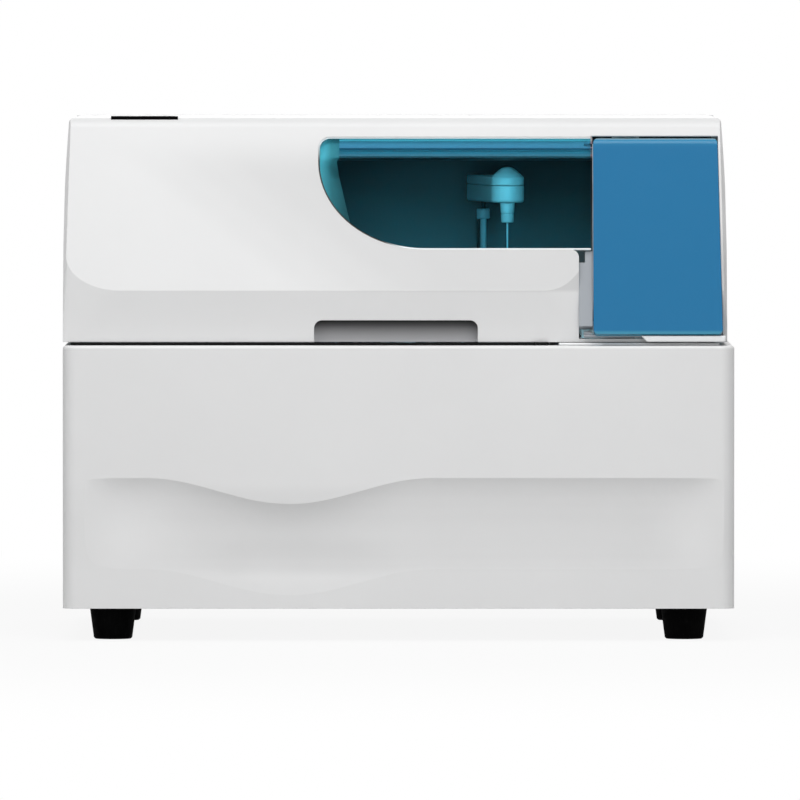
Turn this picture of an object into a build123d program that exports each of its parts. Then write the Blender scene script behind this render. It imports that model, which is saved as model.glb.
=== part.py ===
from build123d import *
from math import acos, asin, atan2, cos, degrees, hypot, pi, radians, sin, tan
import os

# Bench-top biochemistry analyzer: a cabinet on four feet, a hinged cover with a
# tinted window and a small door over the carousel, and the working deck inside.
# X runs to the right, Y to the back, Z up; the origin is under the middle.
os.makedirs("parts", exist_ok=True)

# overall sizes
cabinet_width = 720
cabinet_depth = 600
foot_height = 34.3
cabinet_top = 316
cover_top = 560
cover_seam = 3.5

half_width = cabinet_width / 2
front_y = -cabinet_depth / 2
rear_y = cabinet_depth / 2

# feet
foot_top_radius = 25
foot_foot_radius = 20.5
foot_spread = 307
foot_front_y = -245
foot_rear_y = 225
foot_chamfer = 1.5
foot_screw_radius = 2.2
foot_screw_head_radius = 5
foot_screw_head_depth = 12

# cabinet panels
panel_wall = 4
front_wall = 12
front_return = 60
panel_gap = 1
lip_depth = 16
lip_radius = 3.5
corner_radius = 14
louvre_length = 70
louvre_height = 5
louvre_pitch = 12
louvre_rows = 8
louvre_columns = 2
louvre_column_pitch = 90
louvre_y = 150
louvre_z = 120

# sculpted line across the cabinet front
line_height = 174.6
line_dip = 27.8
line_dip_x = -117
line_dip_half = 153
line_left = -338
line_right = 352
line_fade = 60
sweep_height = 108
sweep_depth = 6.5
sweep_drop = 34
sweep_lean = 32
sweep_least = 0.2
sweep_out = 2
sweep_stations = 9

# floor tray and frame
sheet = 2
tray_flange = 22
tray_slot_length = 60
tray_slot_width = 5
tray_slot_rows = 6
tray_slot_pitch = 14
frame_tube = 14
frame_tube_wall = 2
rail_inset_y = 150
rear_recess = 18
deck_thickness = 3
well_clearance = 0.3

inner_x = half_width - panel_wall
inner_front_y = front_y + front_wall
rear_panel_y = rear_y - rear_recess
tray_rear_y = rear_panel_y - sheet
deck_top = cabinet_top - panel_wall
deck_under = deck_top - deck_thickness
tray_top = foot_height + sheet
rail_bottom = deck_under - frame_tube

# cover
cover_wall = 4
cover_bottom = cabinet_top + cover_seam
cover_left = -half_width
cover_right_inset = 7.5
cover_right = half_width - cover_right_inset
cover_taper = 6.2
taper_start = 420
cover_edge_radius = 6
face_top_radius = 14
face_top_y = -243.5
crease_y = -288.5
crease_height = 375
flare_depth = 24
flare_overrun = 6
face_left_inset = 3.5
face_right_inset = 3
face_left = cover_left + face_left_inset
face_right = cover_right - face_right_inset
face_lean = 5.2
left_swoop_width = 58
left_swoop_height = 38
step_inset = 148.5
step_right = face_right - step_inset
right_swoop_width = 44
right_swoop_height = 50
foot_swoop = 6
face_margin = 30

rake = atan2(face_top_y - crease_y, cover_top - crease_height)

# hinge of the cover
hinge_y = 130
hinge_radius = 8
hinge_z = cover_top - hinge_radius
hinge_pin_radius = 3
running_clearance = 0.05
hinge_lug_width = 30
hinge_lug_x = 250
hinge_lug_gap = 1
hinge_pin_reach = 22
knuckle_radius = 7.5
bracket_web = 12
bracket_plate = 4
bracket_height = 44
pin_seat_gap = 0.02
housing_gap = 2
cover_rear_reach = 5
cover_rear_y = hinge_y + cover_rear_reach
housing_front_y = hinge_y + hinge_radius + housing_gap

# window and door in the cover
window_sill = 419
window_head = 20.6
window_top = cover_top - window_head
window_swoop_width = 114.6
window_swoop_height = 96.4
window_corner = 13
tongue_inset = 156
tongue_end = face_right - tongue_inset
tongue_corner = 9
pane_inset = 143.2
pane_right = face_right - pane_inset
window_width = 292.5
window_left = pane_right - window_width
pane_thickness = 4
pane_recess = 2.5
gasket_width = 1.5
gasket_front = 1
door_inset = 140.5
door_left = face_right - door_inset
door_sill = 328
door_head = 19.5
door_top = cover_top - door_head
door_edge = 1.3
door_opening_right = face_right - door_edge
door_gap = 0.8
door_roll = 8
door_skin = 3
door_depth = 12
door_corner = 8
door_foot_corner = 5
door_pin_radius = 2
door_pin_length = 9
door_pin_left_out = 2.5
jamb_corner = 1.5
jamb_depth = 5
jamb_thickness = 16
jamb_foot = 338
jamb_head = 406
jamb_step_in = 6.3
jamb_step_x = pane_right - jamb_step_in
jamb_step_head = 418
reveal_depth = 30
reveal_insets = ((20.2, 0), (16, 24.3), (72.2, 126))
rail_depth = 7
rail_thickness = 13
rail_head = 15
rail_height = 26.5
rail_high = cover_top - rail_head
rail_low = rail_high - rail_height
rail_groove_rise = 7.1
rail_groove = rail_low + rail_groove_rise
rail_groove_width = 1.2
rail_left_in = 22.2
rail_left = window_left + rail_left_in
rail_end_gap = 0.8
rail_right = door_left - rail_end_gap
rail_pad_height = 4
rail_pad_low = rail_high - rail_pad_height

# grip under the front edge, top vent and bumpers
grip_left = -90.5
grip_right = 85
grip_height = 23.5
grip_radius = 8.5
grip_depth = 25
grip_wall = 2
vent_left = -309
vent_right = -237
vent_front_y = -240
vent_depth = 34
vent_thickness = 4
vent_proud = 1.5
vent_slot_count = 9
vent_slot_width = 3
vent_slant = 6
bumper_length = 15
bumper_width = 8
bumper_places = (153, 311)
bumper_y = -280
seal_left = -352
seal_width = 3
seal_gap = 0.5

# carousel, rotor and arms on the deck
probe_pivot = (93, 70)
probe_tip = (118, -110)
cup_ring_radius = 70
cup_count = 24
cup_home_steps = 5
rotor_center = (-145, -80)
cuvette_ring_radius = 112
cuvette_count = 48
mixer_distance = 185
mixer_half_steps = 13
mixer_tip_half_steps = 7

well_radius = 153
well_wall = 3
well_floor = 262
well_rim_width = 5
well_rim_height = 2.5
carousel_radius = 146
spindle_radius = 8
tray_plate = 3
tray_clearance = 3
upper_plate_z = 318
bottle_count = 12
bottle_ring_radius = 118
bottle_length = 44
bottle_width = 38
bottle_height = 64
bottle_neck_radius = 11
bottle_mouth_radius = 8
bottle_neck_height = 14
bottle_wall = 2
bottle_fit = 0.4
bottle_corner = 5
cup_radius = 6
cup_bore = 4.5
cup_flange_radius = 7.5
cup_flange = 1.5
cup_rise = 9
cup_drop = 18
cup_floor = 2
cup_fit = 0.3
carousel_hub_radius = 22
carousel_knob_radius = 14
carousel_knob_top = 348

bath_radius = 130
bath_floor = 280
bath_wall = 3
rotor_radius = 122
rotor_plate_z = 301
rotor_plate = 4
cuvette_ring_width = 20
cuvette_height = 30
cuvette_slot_length = 12
cuvette_slot_width = 9
cuvette_slot_depth = 25
rotor_cap_radius = 32
rotor_cap_height = 12
rotor_bolt_count = 8
rotor_bolt_ring = 78
rotor_bolt_radius = 9

motor_size = 42
motor_height = 38
motor_coupling_clearance = 0.4
motor_shaft_drop = 12
motor_corner = 4

# probe arm
arm_bottom = 467
arm_parting = 485
arm_flat_top = 495
arm_dome_top = 505.5
arm_width = 36
arm_edge = 3
arm_dome_radius = 15
arm_dome_edge = 5
neck_radius = 2.6
neck_height = 9
collar_radius = 7.4
collar_height = 11
shaft_radius = 3.4
rod_radius = 1.5
rod_offset = 5.7
shaft_reach = 127
rod_reach = 107
column_top = 360
column_bottom = 215
column_radius = 13
column_flange_radius = 24
column_flange = 4
column_floor = 5
column_edge = 1
collar_edge = 1
neck_socket = 6
holder_top_radius = 11
holder_low_radius = 4
holder_height = 18
needle_radius = 1
needle_tip = 405
needle_point = 4

# mixer arm and cuvette washer
mixer_bottom = 415
mixer_top = 433
mixer_width = 26
mixer_edge = 3
mixer_column_top = 362
mixer_column_bottom = 240
mixer_shaft_reach = 90
mixer_rod_reach = 75
paddle_rod_radius = 1.5
paddle_socket = 10
paddle_width = 5
paddle_thickness = 1
paddle_height = 14
paddle_low = 348
wash_post_radius = 5
wash_post_offset = 167
wash_post_top = 430
wash_sleeve_radius = 11
wash_sleeve_low = 385
wash_sleeve_high = 407
wash_bar_width = 24
wash_bar_height = 8
wash_bar_reach = 60
wash_block_width = 16
wash_block_length = 74
wash_nozzle_radius = 1.2
wash_nozzle_tip = 350
wash_nozzle_count = 5
rinse_radius = 8
rinse_bore = 5.5
rinse_rim_radius = 12
rinse_depth = 40
rinse_rise = 14
rinse_turn = -36

# rear cover and rear panel
rear_cover_wall = 4
rear_edge_radius = 5
back_wall = 3
rear_slot_count = 12
rear_slot_length = 120
rear_slot_width = 4
rear_slot_pitch = 11
rear_slot_spread = 320
rear_slot_z = 450
fan_size = 80
fan_depth = 25
fan_bore = 38
fan_x = 220
fan_z = 180
fan_hub_radius = 15
fan_blade_radius = 36
fan_blade_count = 7
fan_blade_width = 16
fan_blade_thick = 1.6
fan_blade_angle = 38
fan_axle_radius = 2
fan_corner = 5
fan_spider = 3
fan_rotor_gap = 0.6
guard_ring = 1.6
guard_rings = (39, 30, 21, 12)
guard_depth = 2
inlet_x = -250
inlet_z = 95
inlet_width = 48
inlet_height = 30
inlet_face = 3
inlet_inside = 26
inlet_socket_width = 24
inlet_socket_height = 16
inlet_socket_depth = 15
inlet_pin_gap = 7
inlet_pin_back = 3
switch_x = -208
switch_width = 21
rocker_width = 13
rocker_height = 20
rocker_gap = 0.5
rocker_stand = 1
rocker_crown = 7.5
rocker_dish = 5
inlet_fit = 0.4
inlet_pin_drop = 2.5
inlet_pin_width = 2
inlet_pin_height = 4
port_x = -90
port_z = 95
port_width = 70
port_height = 22
port_depth = 8
port_edge = 2
port_serial_width = 26
port_serial_height = 10
port_usb_width = 12
port_usb_height = 11
spigot_places = ((30, 90), (65, 90), (100, 90))
spigot_radius = 4
spigot_bore = 2.5
spigot_length = 16
spigot_flange_radius = 8
spigot_flange = 2
spigot_barb = 0.8

# parts inside the cabinet
supply_size = (190, 100, 62)
supply_place = (200, 190)
supply_slots = 10
supply_slot_pitch = 14
supply_slot_width = 4
supply_slot_depth = 3
board_size = (210, 150, 1.6)
board_place = (-60, 150)
board_standoff = 10
board_standoff_radius = 4
chip_places = ((-60, 20, 30), (10, -30, 24), (60, 30, 18))
chip_height = 4
pump_size = (70, 60, 80)
pump_place = (-250, -190)
pump_bore = 24
pump_bore_depth = 20
pump_roller_radius = 6
pump_roller_ring = 16
pump_rollers = 3
pump_axle_radius = 4
pump_roller_gap = 1
syringe_size = (60, 40, 150)
syringe_place = (270, -215)
syringe_barrel_radius = 8
syringe_bore = 6
syringe_barrel_height = 60
syringe_barrel_low = 110
syringe_slot_z = 40
syringe_slot_width = 30
syringe_slot_height = 50
plunger_rod_radius = 2.5
plunger_head = 8
plunger_gap = 0.6
plunger_tail = 20
photometer_size = (56, 110, 46)
photometer_place = (-313, -90)
photometer_wall = 3
filter_wheel_radius = 18
filter_wheel_thickness = 4
filter_count = 8
filter_hole_radius = 4
filter_ring = 12
filter_axle_radius = 2.5

# screws of the rear panel
screw_head_radius = 3.5
screw_head_height = 2
screw_inset = 20
screw_rise = 25.7
screw_drop = 26
screw_low_x = (-120, 150)

# worked-out places on the deck
probe_reach = hypot(probe_tip[0] - probe_pivot[0], probe_tip[1] - probe_pivot[1])
probe_angle = degrees(atan2(probe_tip[1] - probe_pivot[1], probe_tip[0] - probe_pivot[0]))
cup_step = 360 / cup_count
home_angle = cup_home_steps * cup_step
pivot_angle = degrees(asin(cup_ring_radius * sin(radians(home_angle)) / probe_reach))
carousel_distance = probe_reach * sin(radians(180 - home_angle - pivot_angle)) / sin(radians(home_angle))
carousel_angle = radians(probe_angle + pivot_angle)
carousel_center = (
    probe_pivot[0] + carousel_distance * cos(carousel_angle),
    probe_pivot[1] + carousel_distance * sin(carousel_angle),
)
cup_phase = degrees(atan2(probe_tip[1] - carousel_center[1], probe_tip[0] - carousel_center[0]))
rotor_dx = rotor_center[0] - probe_pivot[0]
rotor_dy = rotor_center[1] - probe_pivot[1]
rotor_distance = hypot(rotor_dx, rotor_dy)
rotor_bearing = atan2(rotor_dy, rotor_dx)
reach_square = probe_reach**2 + rotor_distance**2 - cuvette_ring_radius**2
dip_angle = rotor_bearing + acos(reach_square / (2 * probe_reach * rotor_distance))
dip_place = (
    probe_pivot[0] + probe_reach * cos(dip_angle),
    probe_pivot[1] + probe_reach * sin(dip_angle),
)
cuvette_phase = degrees(atan2(dip_place[1] - rotor_center[1], dip_place[0] - rotor_center[0]))
cuvette_step = 360 / cuvette_count
mixer_bearing = radians(cuvette_phase + mixer_half_steps * cuvette_step / 2)
mixer_pivot = (
    rotor_center[0] + mixer_distance * cos(mixer_bearing),
    rotor_center[1] + mixer_distance * sin(mixer_bearing),
)
mixer_tip_bearing = mixer_bearing + radians(mixer_tip_half_steps * cuvette_step / 2)
mixer_tip = (
    rotor_center[0] + cuvette_ring_radius * cos(mixer_tip_bearing),
    rotor_center[1] + cuvette_ring_radius * sin(mixer_tip_bearing),
)
rinse_angle = radians(probe_angle + rinse_turn)
rinse_place = (
    probe_pivot[0] + probe_reach * cos(rinse_angle),
    probe_pivot[1] + probe_reach * sin(rinse_angle),
)
wash_post_place = (rotor_center[0] - wash_post_offset, rotor_center[1])


# Feet: four tapered rubber cones, screwed up into the floor tray from below.
foot_places = [(x, y) for x in (-foot_spread, foot_spread) for y in (foot_front_y, foot_rear_y)]
with BuildPart() as rubber_feet:
    for foot_x, foot_y in foot_places:
        with BuildSketch(Plane(origin=(foot_x, foot_y, 0))):
            Circle(foot_foot_radius)
        with BuildSketch(Plane(origin=(foot_x, foot_y, foot_height))):
            Circle(foot_top_radius)
        loft()
    chamfer(rubber_feet.edges().group_by(Axis.Z)[0], foot_chamfer)
    with BuildSketch():
        with Locations(*foot_places):
            Circle(foot_screw_head_radius)
    extrude(amount=foot_screw_head_depth, mode=Mode.SUBTRACT)
    with BuildSketch():
        with Locations(*foot_places):
            Circle(foot_screw_radius)
    extrude(amount=foot_height, mode=Mode.SUBTRACT)
rubber_feet.part.label = "rubber_feet"
export_step(rubber_feet.part, "parts/rubber_feet.step")

# Floor tray: folded sheet with upturned edges and air slots.
tray_depth = tray_rear_y + sheet - inner_front_y
tray_mid_y = (tray_rear_y + sheet + inner_front_y) / 2
with BuildPart() as floor_tray:
    with BuildSketch(Plane.XY.offset(foot_height)):
        with Locations((0, tray_mid_y)):
            Rectangle(2 * inner_x, tray_depth)
    extrude(amount=sheet + tray_flange)
    with BuildSketch(Plane.XY.offset(tray_top)):
        with Locations((0, tray_mid_y)):
            Rectangle(2 * (inner_x - sheet), tray_depth - 2 * sheet)
    extrude(amount=tray_flange, mode=Mode.SUBTRACT)
    with BuildSketch(Plane.XY.offset(foot_height)):
        with GridLocations(tray_slot_length * 2, tray_slot_pitch, 2, tray_slot_rows):
            SlotOverall(tray_slot_length, tray_slot_width)
    extrude(amount=sheet, mode=Mode.SUBTRACT)
floor_tray.part.label = "floor_tray"
export_step(floor_tray.part, "parts/floor_tray.step")

# Frame: square tubes, four posts and the rails that carry the deck.
post_x = inner_x - sheet - frame_tube / 2
post_front_y = inner_front_y + sheet + frame_tube / 2
post_rear_y = tray_rear_y - frame_tube / 2
rail_x = inner_x - frame_tube / 2
rail_front_y = inner_front_y + frame_tube / 2
post_pitch = post_rear_y - post_front_y
post_bore = frame_tube - 2 * frame_tube_wall
with BuildPart() as frame_posts:
    with BuildSketch(Plane.XY.offset(tray_top)):
        with Locations((0, (post_front_y + post_rear_y) / 2)):
            with GridLocations(2 * post_x, post_pitch, 2, 2):
                Rectangle(frame_tube, frame_tube)
            with GridLocations(2 * post_x, post_pitch, 2, 2):
                Rectangle(post_bore, post_bore, mode=Mode.SUBTRACT)
    extrude(amount=rail_bottom - tray_top)
with BuildPart() as side_rails:
    with BuildSketch(Plane.XZ.offset(-tray_rear_y)):
        with Locations((0, rail_bottom + frame_tube / 2)):
            with GridLocations(2 * rail_x, 0, 2, 1):
                Rectangle(frame_tube, frame_tube)
    extrude(amount=tray_rear_y - inner_front_y)
with BuildPart() as cross_rails:
    with BuildSketch(Plane.YZ.offset(-inner_x + frame_tube)):
        for tube_y in (rail_front_y, rail_inset_y, post_rear_y):
            with Locations((tube_y, rail_bottom + frame_tube / 2)):
                Rectangle(frame_tube, frame_tube)
    extrude(amount=2 * (inner_x - frame_tube))
frame_tubes = Compound(
    children=[*frame_posts.part.solids(), *side_rails.part.solids(), *cross_rails.part.solids()]
)
frame_tubes.label = "frame_tubes"
export_step(frame_tubes, "parts/frame_tubes.step")


def line_z(x):
    # height of the sculpted line: level, with one soft dip left of the middle
    offset_x = abs(x - line_dip_x)
    if offset_x >= line_dip_half:
        return line_height
    return line_height - line_dip * (1 + cos(pi * offset_x / line_dip_half)) / 2


def line_share(x):
    # share of the hollow's depth, fading out towards both ends
    end_distance = min(x - line_left, line_right - x)
    share = min(1, max(0, end_distance / line_fade))
    return sin(share * pi / 2)


sweep_spans = (
    (line_left, line_left + line_fade),
    (line_left + line_fade, line_dip_x),
    (line_dip_x, line_dip_x + line_dip_half),
    (line_dip_x + line_dip_half, line_right - line_fade),
    (line_right - line_fade, line_right),
)


def plan_outline(inset, front):
    # plan of the front moulding: a rectangle with rounded front corners
    width = 2 * (half_width - inset)
    depth = front_y + front_return - front
    with Locations((0, front + depth / 2)):
        Rectangle(width, depth)


# Front panel: one moulding that wraps round both front corners, with a lip on
# top and the long sculpted line with its hollow across the front.
with BuildPart() as front_panel:
    with BuildSketch(Plane.XY.offset(foot_height)) as panel_plan:
        plan_outline(0, front_y)
        fillet(panel_plan.vertices().group_by(Axis.Y)[0], corner_radius)
    extrude(amount=cabinet_top - foot_height)
    top_edges = front_panel.faces().sort_by(Axis.Z)[-1].edges()
    rear_edge = top_edges.sort_by(Axis.Y)[-1]
    fillet([edge for edge in top_edges if edge != rear_edge], lip_radius)
    with BuildSketch(Plane.XY.offset(foot_height)) as panel_inside:
        plan_outline(panel_wall, inner_front_y)
    extrude(amount=deck_top - foot_height, mode=Mode.SUBTRACT)
    with BuildSketch(Plane.XY.offset(deck_top)) as panel_mouth:
        plan_outline(lip_depth, inner_front_y + lip_depth - panel_wall)
    extrude(amount=panel_wall, mode=Mode.SUBTRACT)
    for span_left, span_right in sweep_spans:
        for station in range(sweep_stations):
            station_x = span_left + (span_right - span_left) * station / (sweep_stations - 1)
            top_z = line_z(station_x)
            share = line_share(station_x)
            deep = sweep_depth * share - sweep_least
            sweep_slope = radians(sweep_lean) * share
            crease = (front_y - sweep_least, top_z)
            deepest = (front_y + deep, top_z - sweep_drop)
            foot = (front_y - sweep_least, top_z - sweep_height)
            with BuildSketch(Plane.YZ.offset(station_x)):
                with BuildLine():
                    under = ((sin(sweep_slope), -cos(sweep_slope)), (0, -1))
                    hollow = Spline(crease, deepest, foot, tangents=under)
                    outside = front_y - sweep_out
                    Polyline(hollow @ 1, (outside, foot[1]), (outside, top_z), hollow @ 0)
                make_face()
        loft(mode=Mode.SUBTRACT)
front_panel.part.label = "front_panel"
export_step(front_panel.part, "parts/front_panel.step")

# Side panels: flat mouldings with a top lip and air louvres.
side_front_y = front_y + front_return + panel_gap
side_length = rear_y - side_front_y
side_mid_y = (rear_y + side_front_y) / 2
for side_name, side in (("side_panel_left", -1), ("side_panel_right", 1)):
    with BuildPart() as side_panel:
        with BuildSketch(Plane.XY.offset(foot_height)):
            with Locations((side * (half_width - panel_wall / 2), side_mid_y)):
                Rectangle(panel_wall, side_length)
        extrude(amount=cabinet_top - foot_height)
        with BuildSketch(Plane.XY.offset(deck_top)):
            with Locations((side * (half_width - lip_depth / 2), side_mid_y)):
                Rectangle(lip_depth, side_length)
        extrude(amount=panel_wall)
        outer_edges = side_panel.edges().filter_by(Axis.Y).group_by(Axis.Z)[-1]
        fillet(outer_edges.sort_by(Axis.X)[0 if side < 0 else -1], lip_radius)
        with BuildSketch(Plane.YZ.offset(side * half_width)):
            with Locations((louvre_y, louvre_z)):
                with GridLocations(louvre_column_pitch, louvre_pitch, louvre_columns, louvre_rows):
                    SlotOverall(louvre_length, louvre_height)
        extrude(amount=-side * panel_wall, mode=Mode.SUBTRACT)
    side_panel.part.label = side_name
    export_step(side_panel.part, f"parts/{side_name}.step")

# Deck plate: the floor of the working bay, cut out for the wells and columns.
deck_front_y = inner_front_y
deck_rear_y = rear_y - rear_cover_wall
with BuildPart() as deck_plate:
    with BuildSketch(Plane.XY.offset(deck_under)):
        with Locations((0, (deck_front_y + deck_rear_y) / 2)):
            Rectangle(2 * inner_x, deck_rear_y - deck_front_y)
        with Locations(carousel_center):
            Circle(well_radius + well_clearance, mode=Mode.SUBTRACT)
        with Locations(rotor_center):
            Circle(bath_radius + well_clearance, mode=Mode.SUBTRACT)
        with Locations(probe_pivot, mixer_pivot):
            Circle(column_radius + well_clearance, mode=Mode.SUBTRACT)
        with Locations(rinse_place):
            Circle(rinse_radius + well_clearance, mode=Mode.SUBTRACT)
    extrude(amount=deck_thickness)
deck_plate.part.label = "deck_plate"
export_step(deck_plate.part, "parts/deck_plate.step")


def face_plane(depth):
    # plane of the raked front face, moved inward by depth
    origin = (0, crease_y + depth * cos(rake), crease_height - depth * sin(rake))
    return Plane(origin=origin, x_dir=(1, 0, 0), z_dir=(0, -cos(rake), sin(rake)))


def up(z):
    # height z measured along the raked face, from the crease
    return (z - crease_height) / cos(rake)


def swoop_outline(left, right, bottom, left_corner, right_corner):
    # face outline whose two lower corners are quarter ellipses
    top = up(cover_top + face_margin)
    with BuildLine() as outline:
        near = EllipticalCenterArc(
            (left + left_corner[0], bottom + left_corner[1]), *left_corner, start_angle=180
        )
        far = EllipticalCenterArc(
            (right - right_corner[0], bottom + right_corner[1]), *right_corner, start_angle=270
        )
        Line(near @ 1, far @ 0)
        Polyline(far @ 1, (right, top), (left + face_lean, top), near @ 0)
    make_face(outline.edges())


def strip_outline(left, right, bottom, left_lean):
    # face outline with square lower corners and leaning edges
    top = up(cover_top + face_margin)
    with BuildLine() as outline:
        Polyline(
            (left, bottom), (right, bottom), (right - face_lean, top), (left + left_lean, top), close=True
        )
    make_face(outline.edges())


def silhouette(inset, bottom):
    # front outline of the cover: straight sides that lean in above taper_start
    left = cover_left + inset
    right = cover_right - inset
    top = cover_top - inset
    with BuildLine() as outline:
        left_side = Line((left, bottom), (left, taper_start))
        left_arc = TangentArc(left_side @ 1, (left + cover_taper, top), tangent=(0, 1))
        right_side = Line((right, bottom), (right, taper_start))
        right_arc = TangentArc(right_side @ 1, (right - cover_taper, top), tangent=(0, 1))
        Line(left_side @ 0, right_side @ 0)
        Line(left_arc @ 1, right_arc @ 1)
    make_face(outline.edges())


def cover_form(inset):
    # solid form of the cover, moved inward by inset: the raked face stands
    # proud, and flares back to the chin below it and to both sides
    swoop_foot = (foot_swoop - inset / 2, foot_swoop - inset / 2)
    back_bottom = up(cover_bottom - flare_overrun) + flare_depth * tan(rake) + inset
    back_left = cover_left - sheet + inset
    back_right = cover_right + sheet - inset
    with BuildPart() as form:
        with BuildSketch(face_plane(inset)):
            swoop_outline(
                face_left + inset,
                step_right,
                inset,
                (left_swoop_width - inset, left_swoop_height - inset),
                (right_swoop_width, right_swoop_height - inset),
            )
        with BuildSketch(face_plane(inset + flare_depth)):
            swoop_outline(back_left, step_right + foot_swoop, back_bottom, swoop_foot, swoop_foot)
        loft(ruled=True)
        with BuildSketch(face_plane(inset)):
            strip_outline(step_right, face_right - inset, inset, 0)
        with BuildSketch(face_plane(inset + flare_depth)):
            strip_outline(step_right, back_right, back_bottom, 0)
        loft(ruled=True)
        with BuildSketch(face_plane(inset + flare_depth)):
            strip_outline(back_left, back_right, back_bottom, face_lean)
        extrude(amount=cabinet_depth, dir=(0, 1, 0))
        bottom = cover_bottom - (face_margin if inset else 0)
        rear = cover_rear_y + (face_margin if inset else 0)
        with BuildSketch(Plane.XZ.offset(-rear)) as outline:
            silhouette(inset, bottom)
            fillet(outline.vertices().group_by(Axis.Y)[-1], cover_edge_radius - inset / 2)
        extrude(amount=cabinet_depth, mode=Mode.INTERSECT)
        top = cover_top - inset
        face = face_plane(inset)
        low_y = face.origin.Y - (face.origin.Z - foot_height) * tan(rake)
        high_y = face.origin.Y + (top - face.origin.Z) * tan(rake)
        with BuildSketch(Plane.YZ.offset(-cabinet_width)) as side:
            with BuildLine():
                Polyline(
                    (low_y, foot_height), (high_y, top), (rear_y, top), (rear_y, foot_height), close=True
                )
            make_face()
            fillet(side.vertices().group_by(Axis.Y)[-1].sort_by(Axis.X)[0], face_top_radius - inset)
        extrude(amount=2 * cabinet_width, mode=Mode.INTERSECT)
    return form.part


def window_outline(inset):
    # window in the raked face: its lower left is one long quarter ellipse
    bottom = up(window_sill) + inset
    top = up(window_top) - inset
    center = (window_left + window_swoop_width, up(window_sill) + window_swoop_height)
    with BuildLine() as outline:
        swoop = EllipticalCenterArc(
            center, window_swoop_width - inset, window_swoop_height - inset, start_angle=180
        )
        top_left = (window_left + inset, top)
        Polyline(swoop @ 1, (pane_right, bottom), (pane_right, top), top_left, swoop @ 0)
    corner = make_face(outline.edges()).vertices().sort_by_distance(top_left)[0]
    fillet(corner, window_corner - inset)


def door_outline(gap, top):
    # door in the raked face, moved inward by gap; its right edge leans with the cover
    bottom = up(door_sill) + gap
    lean = door_lean * (top - bottom) / (up(door_top) - up(door_sill))
    with BuildLine() as outline:
        Polyline(
            (door_left, bottom),
            (door_opening_right - gap, bottom),
            (door_opening_right - gap - lean, top),
            (door_left, top),
            close=True,
        )
    make_face(outline.edges())


def vent_plan():
    # plan of the top vent, slanted at its right end
    with BuildLine() as outline:
        Polyline(
            (vent_left, vent_front_y),
            (vent_right, vent_front_y),
            (vent_right - vent_slant, vent_front_y + vent_depth),
            (vent_left, vent_front_y + vent_depth),
            close=True,
        )
    make_face(outline.edges())


door_lean = face_lean * (up(door_top) - up(door_sill)) / up(cover_top + face_margin)
door_axis_up = up(door_top) - door_gap - door_roll
door_axis = face_plane(door_roll).from_local_coords((0, door_axis_up, 0))
door_pin_right = door_opening_right - door_lean
hinge_pin_length = hinge_lug_width + 2 * hinge_pin_reach

# Cover: one moulded shell. Its face stands proud between two swooping corners,
# and the window and the door are cut through it.
cover_outside = cover_form(0)
cover_inside = cover_form(cover_wall)
with BuildPart() as cover_shell:
    add(cover_outside)
    add(cover_inside, mode=Mode.SUBTRACT)
    with BuildSketch(face_plane(-flare_depth)):
        window_outline(0)
    extrude(amount=-2 * flare_depth, mode=Mode.SUBTRACT)
    with BuildSketch(face_plane(-flare_depth)) as door_hole:
        with BuildLine():
            Polyline(
                (tongue_end, up(door_sill)),
                (door_opening_right, up(door_sill)),
                (door_opening_right - door_lean, up(door_top)),
                (pane_right, up(door_top)),
                (pane_right, up(window_sill)),
                (tongue_end, up(window_sill)),
                close=True,
            )
        make_face()
        with Locations((tongue_end - tongue_corner / 2, up(window_sill) - tongue_corner / 2)):
            Rectangle(tongue_corner, tongue_corner)
        with Locations((tongue_end - tongue_corner, up(window_sill) - tongue_corner)):
            Circle(tongue_corner, mode=Mode.SUBTRACT)
    extrude(amount=-3 * flare_depth, mode=Mode.SUBTRACT)
    with BuildSketch(Plane.XZ.offset(-crease_y)) as grip_hole:
        with Locations(((grip_left + grip_right) / 2, cover_bottom + grip_height / 2)):
            Rectangle(grip_right - grip_left, grip_height)
        fillet(grip_hole.vertices().group_by(Axis.Y)[-1], grip_radius)
    extrude(amount=-2 * flare_depth, mode=Mode.SUBTRACT)
    with BuildSketch(Plane.YZ.offset(cover_left + cover_taper)):
        with Locations((hinge_y, hinge_z)):
            Circle(hinge_radius)
        with Locations((hinge_y - hinge_radius, cover_top - cover_wall / 2)):
            Rectangle(2 * hinge_radius, cover_wall)
    extrude(amount=cover_right - cover_left - 2 * cover_taper)
    for lug_x in (-hinge_lug_x, hinge_lug_x):
        with BuildSketch(Plane.YZ.offset(lug_x - hinge_lug_width / 2 - hinge_lug_gap)):
            with Locations((hinge_y, hinge_z)):
                Rectangle(2 * hinge_radius + 2 * hinge_lug_gap, 4 * hinge_radius)
        extrude(amount=hinge_lug_width + 2 * hinge_lug_gap, mode=Mode.SUBTRACT)
        with BuildSketch(Plane.YZ.offset(lug_x - hinge_pin_length / 2 - hinge_lug_gap)):
            with Locations((hinge_y, hinge_z)):
                Circle(hinge_pin_radius + running_clearance)
        extrude(amount=hinge_pin_length + 2 * hinge_lug_gap, mode=Mode.SUBTRACT)
    with BuildSketch(Plane.YZ.offset(door_pin_right - door_pin_length)):
        with Locations((door_axis.Y, door_axis.Z)):
            Circle(door_pin_radius + running_clearance)
    extrude(amount=door_pin_length + door_pin_left_out, mode=Mode.SUBTRACT)
    with BuildSketch(Plane.XY.offset(cover_top + vent_proud - vent_thickness)):
        vent_plan()
    extrude(amount=vent_thickness, mode=Mode.SUBTRACT)
cover_shell.part.label = "cover_shell"
export_step(cover_shell.part, "parts/cover_shell.step")

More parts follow.
